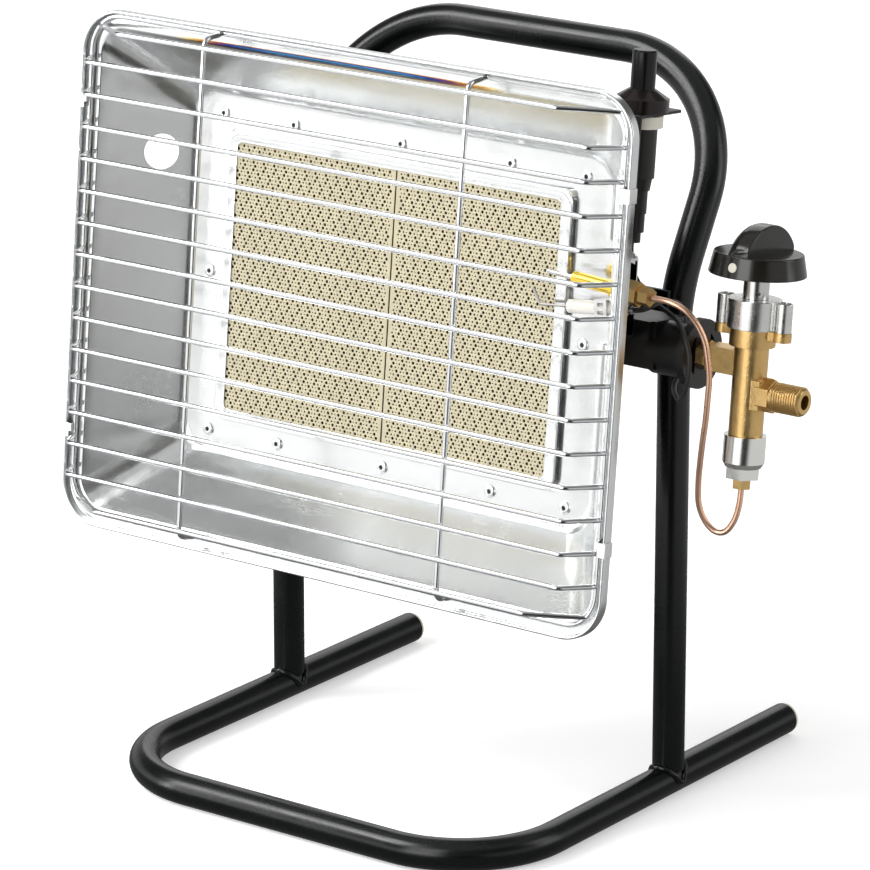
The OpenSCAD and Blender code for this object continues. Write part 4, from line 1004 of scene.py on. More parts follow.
        # Painted shadow: glossy rays see the floor dark, at shade_light, near the heater, rising to the
        # room's walls farther out.
        far = graph.remap(apart, self.shade_reach * 0.4, self.shade_reach)
        sheen = graph.out("ShaderNodeEmission", {"Color": graph.mix(far, (self.shade_light,) * 3,
                                                                    self.hall(graph, place))})
        both = graph.out("ShaderNodeMixShader", {0: rays.outputs["Is Glossy Ray"], 1: shader.outputs[0],
                                                 2: sheen})
        graph.feed(nodes["Material Output"].inputs["Surface"], both)
        finished("floor", bm, Matrix.Identity(4), material)

    def build(self) -> None:
        """Makes the camera, then the rest."""
        bpy.context.scene.view_settings.view_transform = "Standard"
        self.camera()
        for lamp in self.lamps:
            self.lamp(*lamp)
        self.world()
        self.floor()


# ---------------------------------------------------------------- stand
@dataclass
class Stand:
    """The bent-tube stand, its plugs, crossbar and bolts.

    Attributes:
        lean: How far the hoop leans back, in degrees.
        side: Length of the hoop's straight sides above their bends.
        cope: How far the legs start above the base's middle line, as a share of the tube.
        leg_start: Length of the first piece of a leg.
        bead_turn: Where round the leg a weld starts, in radians.
        bead_gap: How far a weld's middle line lies outside the leg.
        bead_lift: How far it lies above the base tube.
        bead_lumps: Height and number of the weld's waves.
    """

    tube_d: float = 16.0
    leg_x: float = 118.8
    base_front: float = 153.4
    base_back: float = 105.8
    corner_r: float = 55.0
    bend_start: float = 234.5
    bend_r: float = 80.0
    lean: float = 29.6
    side: float = 28.0
    hoop_r: float = 69.3
    cope: float = 0.35
    leg_start: float = 40.0
    straight_steps: int = 12
    corner_steps: int = 28
    bend_steps: int = 16
    tube_sides: int = 40
    bead_r: float = 1.6
    bead_steps: int = 72
    bead_sides: int = 12
    bead_turn: float = 0.4
    bead_gap: float = 0.3
    bead_lift: float = 0.2
    bead_lumps: Line = ((0.12, 19), (0.08, 31))

    def _arc(self, start: Vector, heading: Vector, towards: Vector, radius: float, angle: float,
             steps: int) -> tuple[Ring, Vector, Vector]:
        """Draws an arc that leaves a point in one heading and turns towards another.

        Args:
            start: Where the arc starts.
            heading: Its first heading.
            towards: The way it turns, square to the heading.
            radius: Its radius.
            angle: Its turn, in degrees.
            steps: Its pieces.

        Returns:
            The points after the start, the last heading, and the way square to it.
        """
        centre = start + towards * radius
        points = []
        for step in range(1, steps + 1):
            a = math.radians(angle * step / steps)
            points.append(centre - towards * (radius * math.cos(a)) + heading * (radius * math.sin(a)))
        a = math.radians(angle)
        return (points, heading * math.cos(a) + towards * math.sin(a),
                towards * math.cos(a) - heading * math.sin(a))

    def base_path(self) -> Ring:
        """Lists the base tube's middle line, from one open end to the other."""
        foot = self.tube_d / 2
        half = [Vector((self.leg_x, self.base_back, foot))]
        corner = Vector((self.leg_x, self.corner_r - self.base_front, foot))
        steps = self.straight_steps
        half.extend(half[0].lerp(corner, k / steps) for k in range(1, steps + 1))
        half += self._arc(corner, Vector((0, -1, 0)), Vector((-1, 0, 0)), self.corner_r, 90,
                          self.corner_steps)[0]
        return mirrored(half)

    def hoop_path(self) -> Ring:
        """Lists the hoop's middle line, from one foot to the other."""
        foot = self.tube_d / 2 + self.tube_d * self.cope
        half = [Vector((self.leg_x, 0, foot)), Vector((self.leg_x, 0, foot + self.leg_start))]
        bend = Vector((self.leg_x, 0, self.bend_start))
        half.append(bend)
        rise, back = Vector((0, 0, 1)), Vector((0, 1, 0))
        points, heading, _ = self._arc(bend, rise, back, self.bend_r, self.lean, self.bend_steps)
        half += points
        half.append(half[-1] + heading * self.side)
        half += self._arc(half[-1], heading, Vector((-1, 0, 0)), self.hoop_r, 90,
                          self.corner_steps)[0]
        return mirrored(half)

    def bead_path(self, side: int) -> Ring:
        """Lists the middle line of the weld round one foot of the hoop, which sits on the base.

        Args:
            side: -1 for the left foot, 1 for the right one.

        Returns:
            The points.
        """
        tube = self.tube_d / 2
        points = []
        for step in range(self.bead_steps + 1):
            a = math.tau * step / self.bead_steps + self.bead_turn
            aside, back = ((tube + self.bead_gap) * f(a) for f in (math.cos, math.sin))
            dip = math.sqrt(max(0.0, tube ** 2 - min(abs(aside), tube) ** 2))
            lump = sum(high * math.sin(count * a) for high, count in self.bead_lumps)
            points.append(Vector((side * self.leg_x + aside, back, tube + dip + self.bead_lift + lump)))
        return points

    def build(self, shop: Workshop) -> None:
        """Makes the two tubes and their welds and dresses the rest.

        Args:
            shop: The workshop.
        """
        paint, radius = shop.material(PAINT), self.tube_d / 2
        rows = (("base_tube_bent", self.base_path(), radius, self.tube_sides, "base_tube"),
                ("hoop_tube_bent", self.hoop_path(), radius, self.tube_sides, "hoop_tube"),
                ("weld_bead_left", self.bead_path(-1), self.bead_r, self.bead_sides, ""),
                ("weld_bead_right", self.bead_path(1), self.bead_r, self.bead_sides, ""))
        for name, path, thick, sides, node in rows:
            piece = finished(name, swept(path, thick, sides), Matrix.Scale(MM, 4), paint, 60)
            shop.keep(piece, stands_for=node)
        shop.dress(PAINT, crossbar=0.6)
        shop.dress(PLUG, tube_end_plugs=0.5)
        shop.dress(ZINC, mounting_bolts=0.25)


# ---------------------------------------------------------------- reflector
@dataclass
class Reflector:
    """The pressed stainless reflector.

    Attributes:
        hem: Width of the turned rim in front of the channel.
        lip: Depth of the channel that the guard lies in.
        ledge: Width of that channel.
        bends: Radii of the section's first bends, from the hem inwards.
        step: The longest straight piece of the section.
        ring_steps: Steps of a ring round a corner, along the top and along a side.
        pocket_x: How far right the pocket of the sensor reaches.
        pocket_soft: How softly its ends begin, outside and inside its height.
        pocket_wall: How far inside the floor's edge it begins.
        fade_from: Where it starts to fade on the floor, beyond the wall's foot.
        fade_over: The length of that fade.
        ripple: Depth of the ripples in the corners.
        ripple_waves: How fast the ripples follow each other round a corner.
    """

    rim_w: float = 327.0
    rim_h: float = 258.8
    rim_r: float = 22.0
    sheet: float = 0.8
    hem: float = 1.5
    lip: float = 4.5
    ledge: float = 8.0
    floor_w: float = 250.0
    floor_h: float = 180.0
    floor_r: float = 16.0
    floor_depth: float = 46.6
    opening_w: float = 207.68
    opening_h: float = 146.68
    opening_r: float = 3.0
    bends: tuple[float, ...] = (0.72, 0.72, 0.8, 1.4)
    fillet: float = 6.0
    step: float = 4.0
    ring_steps: tuple[int, int, int] = (18, 24, 64)
    pocket_x: float = 140.0
    pocket_low: float = 7.0
    pocket_high: float = 48.0
    pocket_soft: tuple[float, float] = (5.0, 1.5)
    pocket_wall: float = 12.0
    fade_from: float = 2.0
    fade_over: float = 8.0
    ripple: float = 0.45
    ripple_waves: float = 14.0
    cutter_reach: float = 8.0
    hole_d: float = 18.0
    hole_depth: float = 31.8
    hole_up: float = 57.9

    def __post_init__(self) -> None:
        """Works out the insets of the mouth, the floor and the opening."""
        self.mouth = self.sheet + self.ledge
        self.floor = ((self.rim_w - self.floor_w) / 2, (self.rim_h - self.floor_h) / 2)
        self.opening = ((self.rim_w - self.opening_w) / 2, (self.rim_h - self.opening_h) / 2)
        self.wall_angle = math.atan((self.floor[0] - self.mouth) / (self.floor_depth - self.lip))

    def _bent(self, points: Line, radii: Sequence[float],
              steps: int = 5) -> Line:
        """Rounds the corners of a section line.

        Args:
            points: Inset and depth of each corner.
            radii: Radius at each inner corner.
            steps: Pieces of each bend.

        Returns:
            The rounded line.
        """
        line = [Vector(points[0])]
        for before, at, after, radius in zip(points, points[1:], points[2:], radii):
            corner = Vector(at)
            back, ahead = (Vector(before) - corner).normalized(), (Vector(after) - corner).normalized()
            half = back.angle(ahead) / 2
            reach = radius / math.tan(half)
            centre = corner + (back + ahead).normalized() * (radius / math.sin(half))
            start, end = corner + back * reach - centre, corner + ahead * reach - centre
            for k in range(steps + 1):
                line.append(centre + start.slerp(end, k / steps) * radius)
        line.append(Vector(points[-1]))
        return [tuple(p) for p in line]

    def section(self) -> Line:
        """Lists inset and depth along the front of the sheet, from the hem to the opening."""
        corners = [(0.0, self.lip + self.sheet), (0.0, 0.0), (self.hem, 0.0), (self.hem, self.lip),
                   (self.mouth, self.lip), (self.floor[0], self.floor_depth),
                   (self.opening[0], self.floor_depth)]
        return self._bent(corners, (*self.bends, self.fillet))

    def _filled(self, line: Line) -> Line:
        """Adds points to the long straights of a section line.

        Args:
            line: The line.

        Returns:
            The line with its added points.
        """
        full = [line[0]]
        for (a, b), (c, d) in zip(line, line[1:]):
            pieces = max(1, math.ceil(math.hypot(c - a, d - b) / self.step))
            full.extend((a + (c - a) * k / pieces, b + (d - b) * k / pieces) for k in range(1, pieces + 1))
        return full

    def _back(self, line: Line) -> Line:
        """Offsets the part of the line behind the channel by the sheet's thickness."""
        behind = []
        for before, at, after in zip(line, line[1:], line[2:]):
            if at[0] < self.hem * 1.2:
                continue
            run = (Vector(after) - Vector(before)).normalized()
            behind.append((at[0] - run.y * self.sheet, at[1] + run.x * self.sheet))
        return [(line[-1][0], line[-1][1] + self.sheet)] + list(reversed(behind))

    def _ring(self, inset: float, depth: float) -> Ring:
        """Lists one ring of the sheet at an inset from the rim.

        Args:
            inset: Sideways inset from the rim's outline.
            depth: Depth behind the rim.

        Returns:
            The points.
        """
        if inset <= self.mouth:
            inset_z, radius = inset, self.rim_r - inset
        elif inset <= self.floor[0]:
            t = (inset - self.mouth) / (self.floor[0] - self.mouth)
            inset_z = self.mouth + t * (self.floor[1] - self.mouth)
            radius = (1 - t) * (self.rim_r - self.mouth) + t * self.floor_r
        else:
            t = (inset - self.floor[0]) / (self.opening[0] - self.floor[0])
            inset_z = self.floor[1] + t * (self.opening[1] - self.floor[1])
            radius = (1 - t) * self.floor_r + t * self.opening_r
        return rounded_ring(self.rim_w - 2 * inset, self.rim_h - 2 * inset_z, radius, depth,
                            *self.ring_steps)

    def _pressed(self, point: Vector, inset: float) -> Vector:
        """Presses the sensor pocket and the ripples of the corners into a point of the wall.

        Args:
            point: The point.
            inset: Its ring's inset.

        Returns:
            The moved point.
        """
        moved = point.copy()
        along = min(1.0, max(0.0, (inset - self.mouth) / (self.floor[0] - self.mouth)))
        past = inset - self.floor[0] - self.fade_from
        beyond = 1.0 if past < 0 else max(0.0, 1 - past / self.fade_over)
        edge_x, edge_z = self.floor_w / 2 - self.floor_r, self.floor_h / 2 - self.floor_r
        if abs(point.x) > edge_x and abs(point.z) > edge_z and along > 0:
            angle = math.atan2(abs(point.z) - edge_z, abs(point.x) - edge_x)
            swell = math.sin(math.pi * along) * self.ripple * math.sin(2 * angle)
            wave = math.cos(angle * self.ripple_waves + (1 if point.x > 0 else 2))
            out = Vector((math.copysign(math.cos(angle), point.x), 0,
                          math.copysign(math.sin(angle), point.z)))
            moved += out * (swell * wave)
        outside, inside = self.pocket_soft
        low = smooth_step(self.pocket_low - outside, self.pocket_low + inside, point.z)
        high = smooth_step(self.pocket_high + outside, self.pocket_high - inside, point.z)
        if point.x > self.floor_w / 2 - self.pocket_wall and along > 0.2 and beyond > 0:
            moved.x += max(0.0, self.pocket_x - point.x) * low * high * beyond
        return moved

    def mesh(self) -> Shape:
        """Builds the sheet with its thickness, its pocket and its rippled corners."""
        line = self._filled(self.section())
        closed = line + self._back(line)
        rings = [[self._pressed(p, inset) for p in self._ring(inset, depth)] for inset, depth in closed]
        return skinned(rings, looped=True)

    def lighting_hole(self, matrix: Matrix) -> Piece:
        """Makes the round cutter of the lighting hole in the left wall.

        Args:
            matrix: The head's matrix.

        Returns:
            The cutter.
        """
        wall = self.rim_w / 2 - self.mouth - (self.hole_depth - self.lip) * math.tan(self.wall_angle)
        bm = turned([(self.hole_d / 2, -self.cutter_reach), (self.hole_d / 2, self.cutter_reach)], 64)
        aim = Matrix.Rotation(-self.wall_angle, 4, "Z") @ Matrix.Rotation(-math.pi / 2, 4, "Y")
        bm.transform(Matrix.Translation((-wall, self.hole_depth, self.hole_up)) @ aim)
        return finished("hole_cutter", bm, matrix, bpy.data.materials.new("cutter"))

    def build(self, shop: Workshop) -> None:
        """Makes the reflector in place of its plain node.

        Args:
            shop: The workshop.
        """
        matrix = shop.head.matrix()
        material = shop.material(STAINLESS)
        sheet = finished("reflector_pressed", self.mesh(), matrix, material)
        cutter = self.lighting_hole(matrix)
        cut = sheet.modifiers.new("hole", "BOOLEAN")
        cut.object, cut.solver = cutter, "EXACT"
        piece = baked(sheet, "reflector_sheet", material)
        bpy.data.objects.remove(cutter)
        shop.keep(piece, stands_for="reflector")


# ---------------------------------------------------------------- burner
HOLES = {"Wide": (10, ((0.0, 0.0), (1.09, -1.9), (0.0, -3.76))),
         "Narrow": (8, ((2.4, 0.0), (4.7, -1.9), (2.4, -3.76))),
         "Fine": (6, ((4.3, 0.0), (2.9, -1.85), (4.3, -3.7)))}


def plate_tree() -> Tree:
    """Builds the tree that punches a burner plate.

    Holes stand on a slanted lattice, a chevron of wide ones and a chevron of narrow ones in
    each cell, and go right through the plate.

    Returns:
        The geometry tree.
    """
    graph, given, out = new_group(
        "burner_plate", "GeometryNodeTree",
        [(name, "Float", value) for name, value in (
            ("Left", 0.0), ("Right", 100.0), ("Height", 139.0), ("Thickness", 12.0),
            ("Margin Left", 1.0), ("Margin Right", 2.0), ("Margin Top", 2.0), ("Pitch", 6.39),
            ("Row", 11.1), ("Wide", 0.8), ("Narrow", 0.52), ("Fine", 0.36))],
        [("Geometry", "Geometry")])

    def vector(x: object, y: object, z: object = 0.0) -> Socket:
        """Combines three numbers."""
        return graph.out("ShaderNodeCombineXYZ", {0: x, 1: y, 2: z})

    left, right, high = given["Left"], given["Right"], given["Height"]
    pitch, row = given["Pitch"], given["Row"]
    width = graph.minus(right, left)
    top = graph.times(high, 0.5)
    columns, rows = (graph.plus(graph.math("FLOOR", graph.math("DIVIDE", length, step)), 3.0)
                     for length, step in ((width, pitch), (high, row)))
    corner = vector(graph.minus(left, pitch), graph.plus(top, row))
    drop = graph.times(row, -1.0)
    line = graph.out("GeometryNodeMeshLine", {"Count": columns, "Offset": vector(pitch, 0.0)},
                     mode="OFFSET")
    stack = graph.out("GeometryNodeMeshLine", {"Count": rows, "Start Location": corner,
                                               "Offset": vector(0.0, drop)}, mode="OFFSET")
    half_shift = vector(graph.times(pitch, 0.5), graph.times(drop, 0.5))
    moved = graph.out("GeometryNodeTransform", {"Geometry": stack, "Translation": half_shift})
    lattice = graph.out("GeometryNodeInstanceOnPoints",
                        {"Points": graph.joined(stack, moved), "Instance": line})
    cells = graph.out("GeometryNodeRealizeInstances", {0: lattice})
    outlines = []
    for kind, (sides, offsets) in HOLES.items():
        circle = graph.out("GeometryNodeCurvePrimitiveCircle",
                           {"Resolution": sides, "Radius": given[kind]}, mode="RADIUS")
        for x, y in offsets:
            shifted = graph.out("GeometryNodeTransform", {"Geometry": cells, "Translation": (x, y, 0.0)})
            position = graph.out("GeometryNodeInputPosition")
            at = graph.add("ShaderNodeSeparateXYZ", {0: position}).outputs
            kept = graph.times(
                graph.math("GREATER_THAN", at[0], graph.plus(left, given["Margin Left"])),
                graph.math("LESS_THAN", at[0], graph.minus(right, given["Margin Right"])),
                graph.math("LESS_THAN", graph.math("ABSOLUTE", at[1]),
                           graph.minus(top, given["Margin Top"])))
            outlines.append(graph.out("GeometryNodeInstanceOnPoints",
                                      {"Points": shifted, "Selection": kept, "Instance": circle}))
    border = graph.out("GeometryNodeCurvePrimitiveQuadrilateral", {"Width": width, "Height": high},
                       mode="RECTANGLE")
    middle = graph.times(graph.plus(left, right), 0.5)
    outlines.append(graph.out("GeometryNodeTransform", {"Geometry": border,
                                                        "Translation": vector(middle, 0.0)}))
    loops = graph.out("GeometryNodeRealizeInstances", {0: graph.joined(*outlines)})
    face = graph.out("GeometryNodeFillCurve", {"Curve": loops})
    body = graph.out("GeometryNodeExtrudeMesh", {"Mesh": face, "Offset": vector(0.0, 0.0, -1.0),
                                                 "Offset Scale": given["Thickness"],
                                                 "Individual": False})
    lid = graph.out("GeometryNodeFlipFaces", {0: face})
    welded = graph.out("GeometryNodeMergeByDistance", {"Geometry": graph.joined(body, lid),
                                                       "Distance": 0.002})
    graph.feed(out["Geometry"], graph.out("GeometryNodeRealizeInstances", {0: welded}))
    return graph.tree


def rivet_tree() -> Tree:
    """Builds the tree that sets one rivet at each of the given points, each with a turn of its own.

    Returns:
        The geometry tree.
    """
    graph, given, out = new_group("rivet_rows", "GeometryNodeTree",
                                  [("Points", "Object", None), ("Rivet", "Object", None),
                                   ("Finish", "Material", None)], [("Geometry", "Geometry")])
    spots = graph.add("GeometryNodeObjectInfo", {"Object": given["Points"]}).outputs["Geometry"]
    shape = graph.add("GeometryNodeObjectInfo", {"Object": given["Rivet"]}).outputs["Geometry"]
    turns = graph.out("FunctionNodeRandomValue", {"Max": (0.0, 0.0, math.tau), "Seed": 7},
                      data_type="FLOAT_VECTOR")
    laid = graph.out("GeometryNodeInstanceOnPoints", {"Points": spots, "Instance": shape,
                                                      "Rotation": turns})
    real = graph.out("GeometryNodeRealizeInstances", {0: laid})
    graph.feed(out["Geometry"], graph.out("GeometryNodeSetMaterial", {"Geometry": real,
                                                                      "Material": given["Finish"]}))
    return graph.tree


@dataclass
class Burner:
    """The two ceramic plates, their frame and strip, the rivets and the housing behind.

    Attributes:
        margins: Bare width of a plate at its outer side, its inner side and its top.
        frame_steps: Steps of the frame's rings round a corner, along the top and along a side.
        frame_face: Share of the way outwards, growth and depth of each point of its face.
        frame_roll: Radius of the frame's rolled outer edge.
        frame_flange: How much wider the frame's flange is.
        rivet_across: Places of the rivets in a row, from the left.
        rivet_up: Height of the upper row.
        rivet_aside: Place of the lone rivet beside the frame.
        dome: The rivet head's profile, as shares of its radius and its height.
    """

    plate_w: float = 99.5
    plate_h: float = 139.0
    plate_t: float = 12.0
    plate_depth: float = 44.0
    seam_w: float = 1.0
    margins: tuple[float, float, float] = (2.2, 1.9, 2.0)
    frame_depth: float = 43.2
    frame_w: float = 206.68
    frame_h: float = 145.68
    frame_r: float = 6.5
    frame_t: float = 0.8
    frame_steps: tuple[int, int, int] = (10, 12, 12)
    frame_face: tuple[Place, ...] = ((0.0, 0.0, 0.8), (0.0, 0.0, 0.25), (0.0, 0.3, 0.0),
                                     (0.45, 0.0, 0.12), (0.62, 0.0, 0.0))
    frame_roll: float = 0.7
    frame_flange: float = 14.0
    window_w: float = 194.0
    window_h: float = 134.2
    window_r: float = 3.0
    floor_depth: float = 46.6
    rivet_d: float = 6.5
    rivet_h: float = 1.3
    rivet_across: tuple[float, ...] = (-108.6, -64.9, 0.0, 64.9, 108.6)
    rivet_up: float = 79.8
    rivet_aside: float = 112.7
    dome: tuple[tuple[float, float], ...] = (
        (0.96, -0.1), (1.0, 0.1), (0.98, 0.3), (0.92, 0.55), (0.82, 0.76), (0.68, 0.92), (0.5, 1.0),
        (0.38, 0.97), (0.33, 0.8), (0.31, 0.1), (0.02, 0.08))

    def plates(self, shop: Workshop) -> None:
        """Punches both plates.

        Args:
            shop: The workshop.
        """
        tree = plate_tree()
        material = shop.material(CERAMIC)
        lay = shop.head.matrix(0, self.plate_depth, 0) @ Matrix.Rotation(math.pi / 2, 4, "X")
        seam = self.seam_w / 2
        outer, inner, top = self.margins
        sides = (("ceramic_plate_left", -seam - self.plate_w, -seam, outer, inner),
                 ("ceramic_plate_right", seam, seam + self.plate_w, inner, outer))
        for node, left, right, left_margin, right_margin in sides:
            values = {"Left": left, "Right": right, "Height": self.plate_h, "Thickness": self.plate_t,
                      "Margin Left": left_margin, "Margin Right": right_margin, "Margin Top": top}
            piece = grown(node + "_punched", tree, values, lay, material, 40)
            shop.keep(piece, stands_for=node)

    def frame(self, shop: Workshop) -> None:
        """Makes the pressed frame round the plates, with its rolled edges.

        Args:
            shop: The workshop.
        """
        front, base, thick = self.frame_depth, self.floor_depth + self.frame_t, self.frame_t
        sizes = list(zip((self.window_w, self.window_h, self.window_r),
                         (self.frame_w, self.frame_h, self.frame_r), (2, 2, 1)))

        def ring(share: float, grow: float, depth: float) -> Ring:
            """Lists a ring between the window (0) and the outer edge (1), grown by a length."""
            w, h, r = (a + (b - a) * share + grow * f for a, b, f in sizes)
            return rounded_ring(w, h, max(r, 0.4), depth, *self.frame_steps)

        roll, flange = self.frame_roll, self.frame_flange
        rolled = [(1.0, -roll * (1 - math.sin(a)), front + roll * (1 - math.cos(a)))
                  for a in (math.radians(15 * k) for k in range(7))]
        face = [(share, grow, front + depth) for share, grow, depth in self.frame_face]
        skirt = [(1.0, 0.0, base), (1.0, flange, base), (1.0, flange, base + thick),
                 (1.0, -thick, base + thick), (1.0, -thick, front + 2.0), (1.0, -2.2, front + thick)]
        rings = [ring(*row) for row in face + rolled + skirt]
        piece = finished("burner_frame_pressed", skinned(rings, looped=True), shop.head.matrix(),
                         shop.material(FRAME_SHEET), 40)
        shop.keep(piece, stands_for="burner_frame")

    def rivets(self, shop: Workshop) -> None:
        """Sets the blind rivets and the broken stems inside them, near black as painted shade in the
        rivets' holes.

        Args:
            shop: The workshop.
        """
        high, radius = self.rivet_h, self.rivet_d / 2
        head = turned([(0.01, -0.6), (radius * 0.55, -0.6)]
                      + [(radius * wide, high * tall) for wide, tall in self.dome], 28)
        stub = turned([(0.01, 0.1), (radius * 0.3, 0.1), (radius * 0.3, high * 0.5),
                       (radius * 0.2, high * 0.62), (0.01, high * 0.62)], 16)
        places = [(x, z, 0.0) for z in (-self.rivet_up, self.rivet_up) for x in self.rivet_across]
        places += [(-self.rivet_aside, 0.0, 0.0), (self.rivet_aside, 0.0, 0.0)]
        points = bpy.data.meshes.new("rivet_places")
        points.from_pydata(places, [], [])
        marker = bpy.data.objects.new("rivet_places", points)
        bpy.context.scene.collection.objects.link(marker)
        lay = shop.head.matrix(0, self.floor_depth, 0) @ Matrix.Rotation(math.pi / 2, 4, "X")
        tree = rivet_tree()
        # The stems get the near-black finish, which is painted shade in the rivets' holes.
        for name, bm, finish, node in (("blind_rivets", head, RIVET, "rivets"),
                                       ("rivet_mandrels", stub, SHADED_MANDREL, "")):
            material = shop.material(finish)
            source = finished(name + "_source", bm, Matrix.Identity(4), material)
            values = {"Points": marker, "Rivet": source, "Finish": material}
            piece = grown(name, tree, values, lay, material)
            bpy.data.objects.remove(source)
            shop.keep(piece, stands_for=node)
        bpy.data.objects.remove(marker)

    def build(self, shop: Workshop) -> None:
        """Makes the burner's pieces.

        Args:
            shop: The workshop.
        """
        self.plates(shop)
        self.frame(shop)
        self.rivets(shop)
        shop.dress(FIBRE, plate_gasket=0)
        shop.dress(IRON, burner_housing=0.8)
        shop.dress(ZINC, baffle_plate=0)


# ---------------------------------------------------------------- guard
def wire_tree() -> Tree:
    """Builds the tree that turns a mesh of edges into bent round wires.

    Returns:
        The geometry tree.
    """
    graph, given, out = new_group(
        "bent_wire", "GeometryNodeTree",
        [("Geometry", "Geometry", None), ("Wire Radius", "Float", 1.5), ("Bend Radius", "Float", 5.0),
         ("Bend Steps", "Int", 8), ("Finish", "Material", None)], [("Geometry", "Geometry")])
    line = graph.out("GeometryNodeMeshToCurve", {"Mesh": given["Geometry"]})
    bent = graph.out("GeometryNodeFilletCurve", {"Curve": line, "Count": given["Bend Steps"],
                                                 "Radius": given["Bend Radius"], "Limit Radius": True},
                     mode="POLY")
    ring = graph.out("GeometryNodeCurvePrimitiveCircle", {"Resolution": 18, "Radius": given["Wire Radius"]},
                     mode="RADIUS")
    wire = graph.out("GeometryNodeCurveToMesh", {"Curve": bent, "Profile Curve": ring, "Fill Caps": True})
    real = graph.out("GeometryNodeRealizeInstances", {0: wire})
    graph.feed(out["Geometry"], graph.out("GeometryNodeSetMaterial", {"Geometry": real,
                                                                      "Material": given["Finish"]}))
    return graph.tree


@dataclass
class Guard:
    """The wire guard and the clips that hold it."""

    wire_d: float = 2.6
    packed_wire_d: float = 3.0
    width: float = 317.4
    height: float = 249.2
    corner_r: float = 17.2
    seat: float = 2.96
    front: float = 14.5
    rise: float = 1.8
    bars: int = 16
    pitch: float = 15.85
    inset: float = 10.0
    end_inset: float = 25.0
    bend_r: float = 5.0
    upright_x: float = 78.0
    upright_inset: float = 2.0

    def edge(self, up: float) -> float:
        """Gives half the guard's width at a height, with its round corners."""
        over = abs(up) - (self.height / 2 - self.corner_r)
        if over <= 0:
            return self.width / 2
        return self.width / 2 - self.corner_r + math.sqrt(self.corner_r ** 2 - over ** 2)

    def bar_lines(self) -> list[list[Place]]:
        """Lists the corners of every bar."""
        lines: list[list[Place]] = []
        for i in range(self.bars):
            up = (i - (self.bars - 1) / 2) * self.pitch
            half = self.edge(up)
            cornered = half < self.width / 2
            flat = half - (self.end_inset if cornered else self.inset)
            corners = [(half, self.seat), (flat, -self.front), (-flat, -self.front), (-half, self.seat)]
            lines.append([(x, depth, up + self.rise) for x, depth in corners])
        return lines

    def upright_lines(self) -> list[list[Place]]:
        """Lists the corners of both uprights, which lie behind the bars."""
        depth = self.packed_wire_d - self.front
        half = self.height / 2
        corners = [(half, self.seat), (half - self.upright_inset, depth),
                   (self.upright_inset - half, depth), (-half, self.seat)]
        return [[(x, d, up + self.rise) for up, d in corners] for x in (-self.upright_x, self.upright_x)]

    def frame_lines(self) -> list[list[Place]]:
        """Lists the corners of the closed frame."""
        x, up = self.width / 2, self.height / 2
        return [[(x, self.seat, up + self.rise), (-x, self.seat, up + self.rise),
                 (-x, self.seat, self.rise - up), (x, self.seat, self.rise - up)]]

    def build(self, shop: Workshop) -> None:
        """Bends the wires and dresses the clips.

        Args:
            shop: The workshop.
        """
        tree = wire_tree()
        chrome = shop.material(CHROME)
        wires = (("guard_bars", self.bar_lines(), False, self.bend_r, "grille_bars"),
                 ("guard_uprights", self.upright_lines(), False, self.bend_r, "grille_uprights"),
                 ("guard_frame", self.frame_lines(), True, self.corner_r, "grille_frame"))
        for name, lines, closed, radius, node in wires:
            corners: list[Place] = []
            edges: list[tuple[int, int]] = []
            for line in lines:
                first = len(corners)
                corners += line
                edges += [(k, k + 1) for k in range(first, len(corners) - 1)]
                if closed:
                    edges.append((len(corners) - 1, first))
            mesh = bpy.data.meshes.new(name + "_line")
            mesh.from_pydata(corners, edges, [])
            values = {"Wire Radius": self.wire_d / 2, "Bend Radius": radius,
                      "Bend Steps": 14 if closed else 8, "Finish": chrome}
            piece = grown(name, tree, values, shop.head.matrix(), chrome, 50, mesh)
            shop.keep(piece, stands_for=node)
        shop.dress(CLIP, grille_clips=0.2)


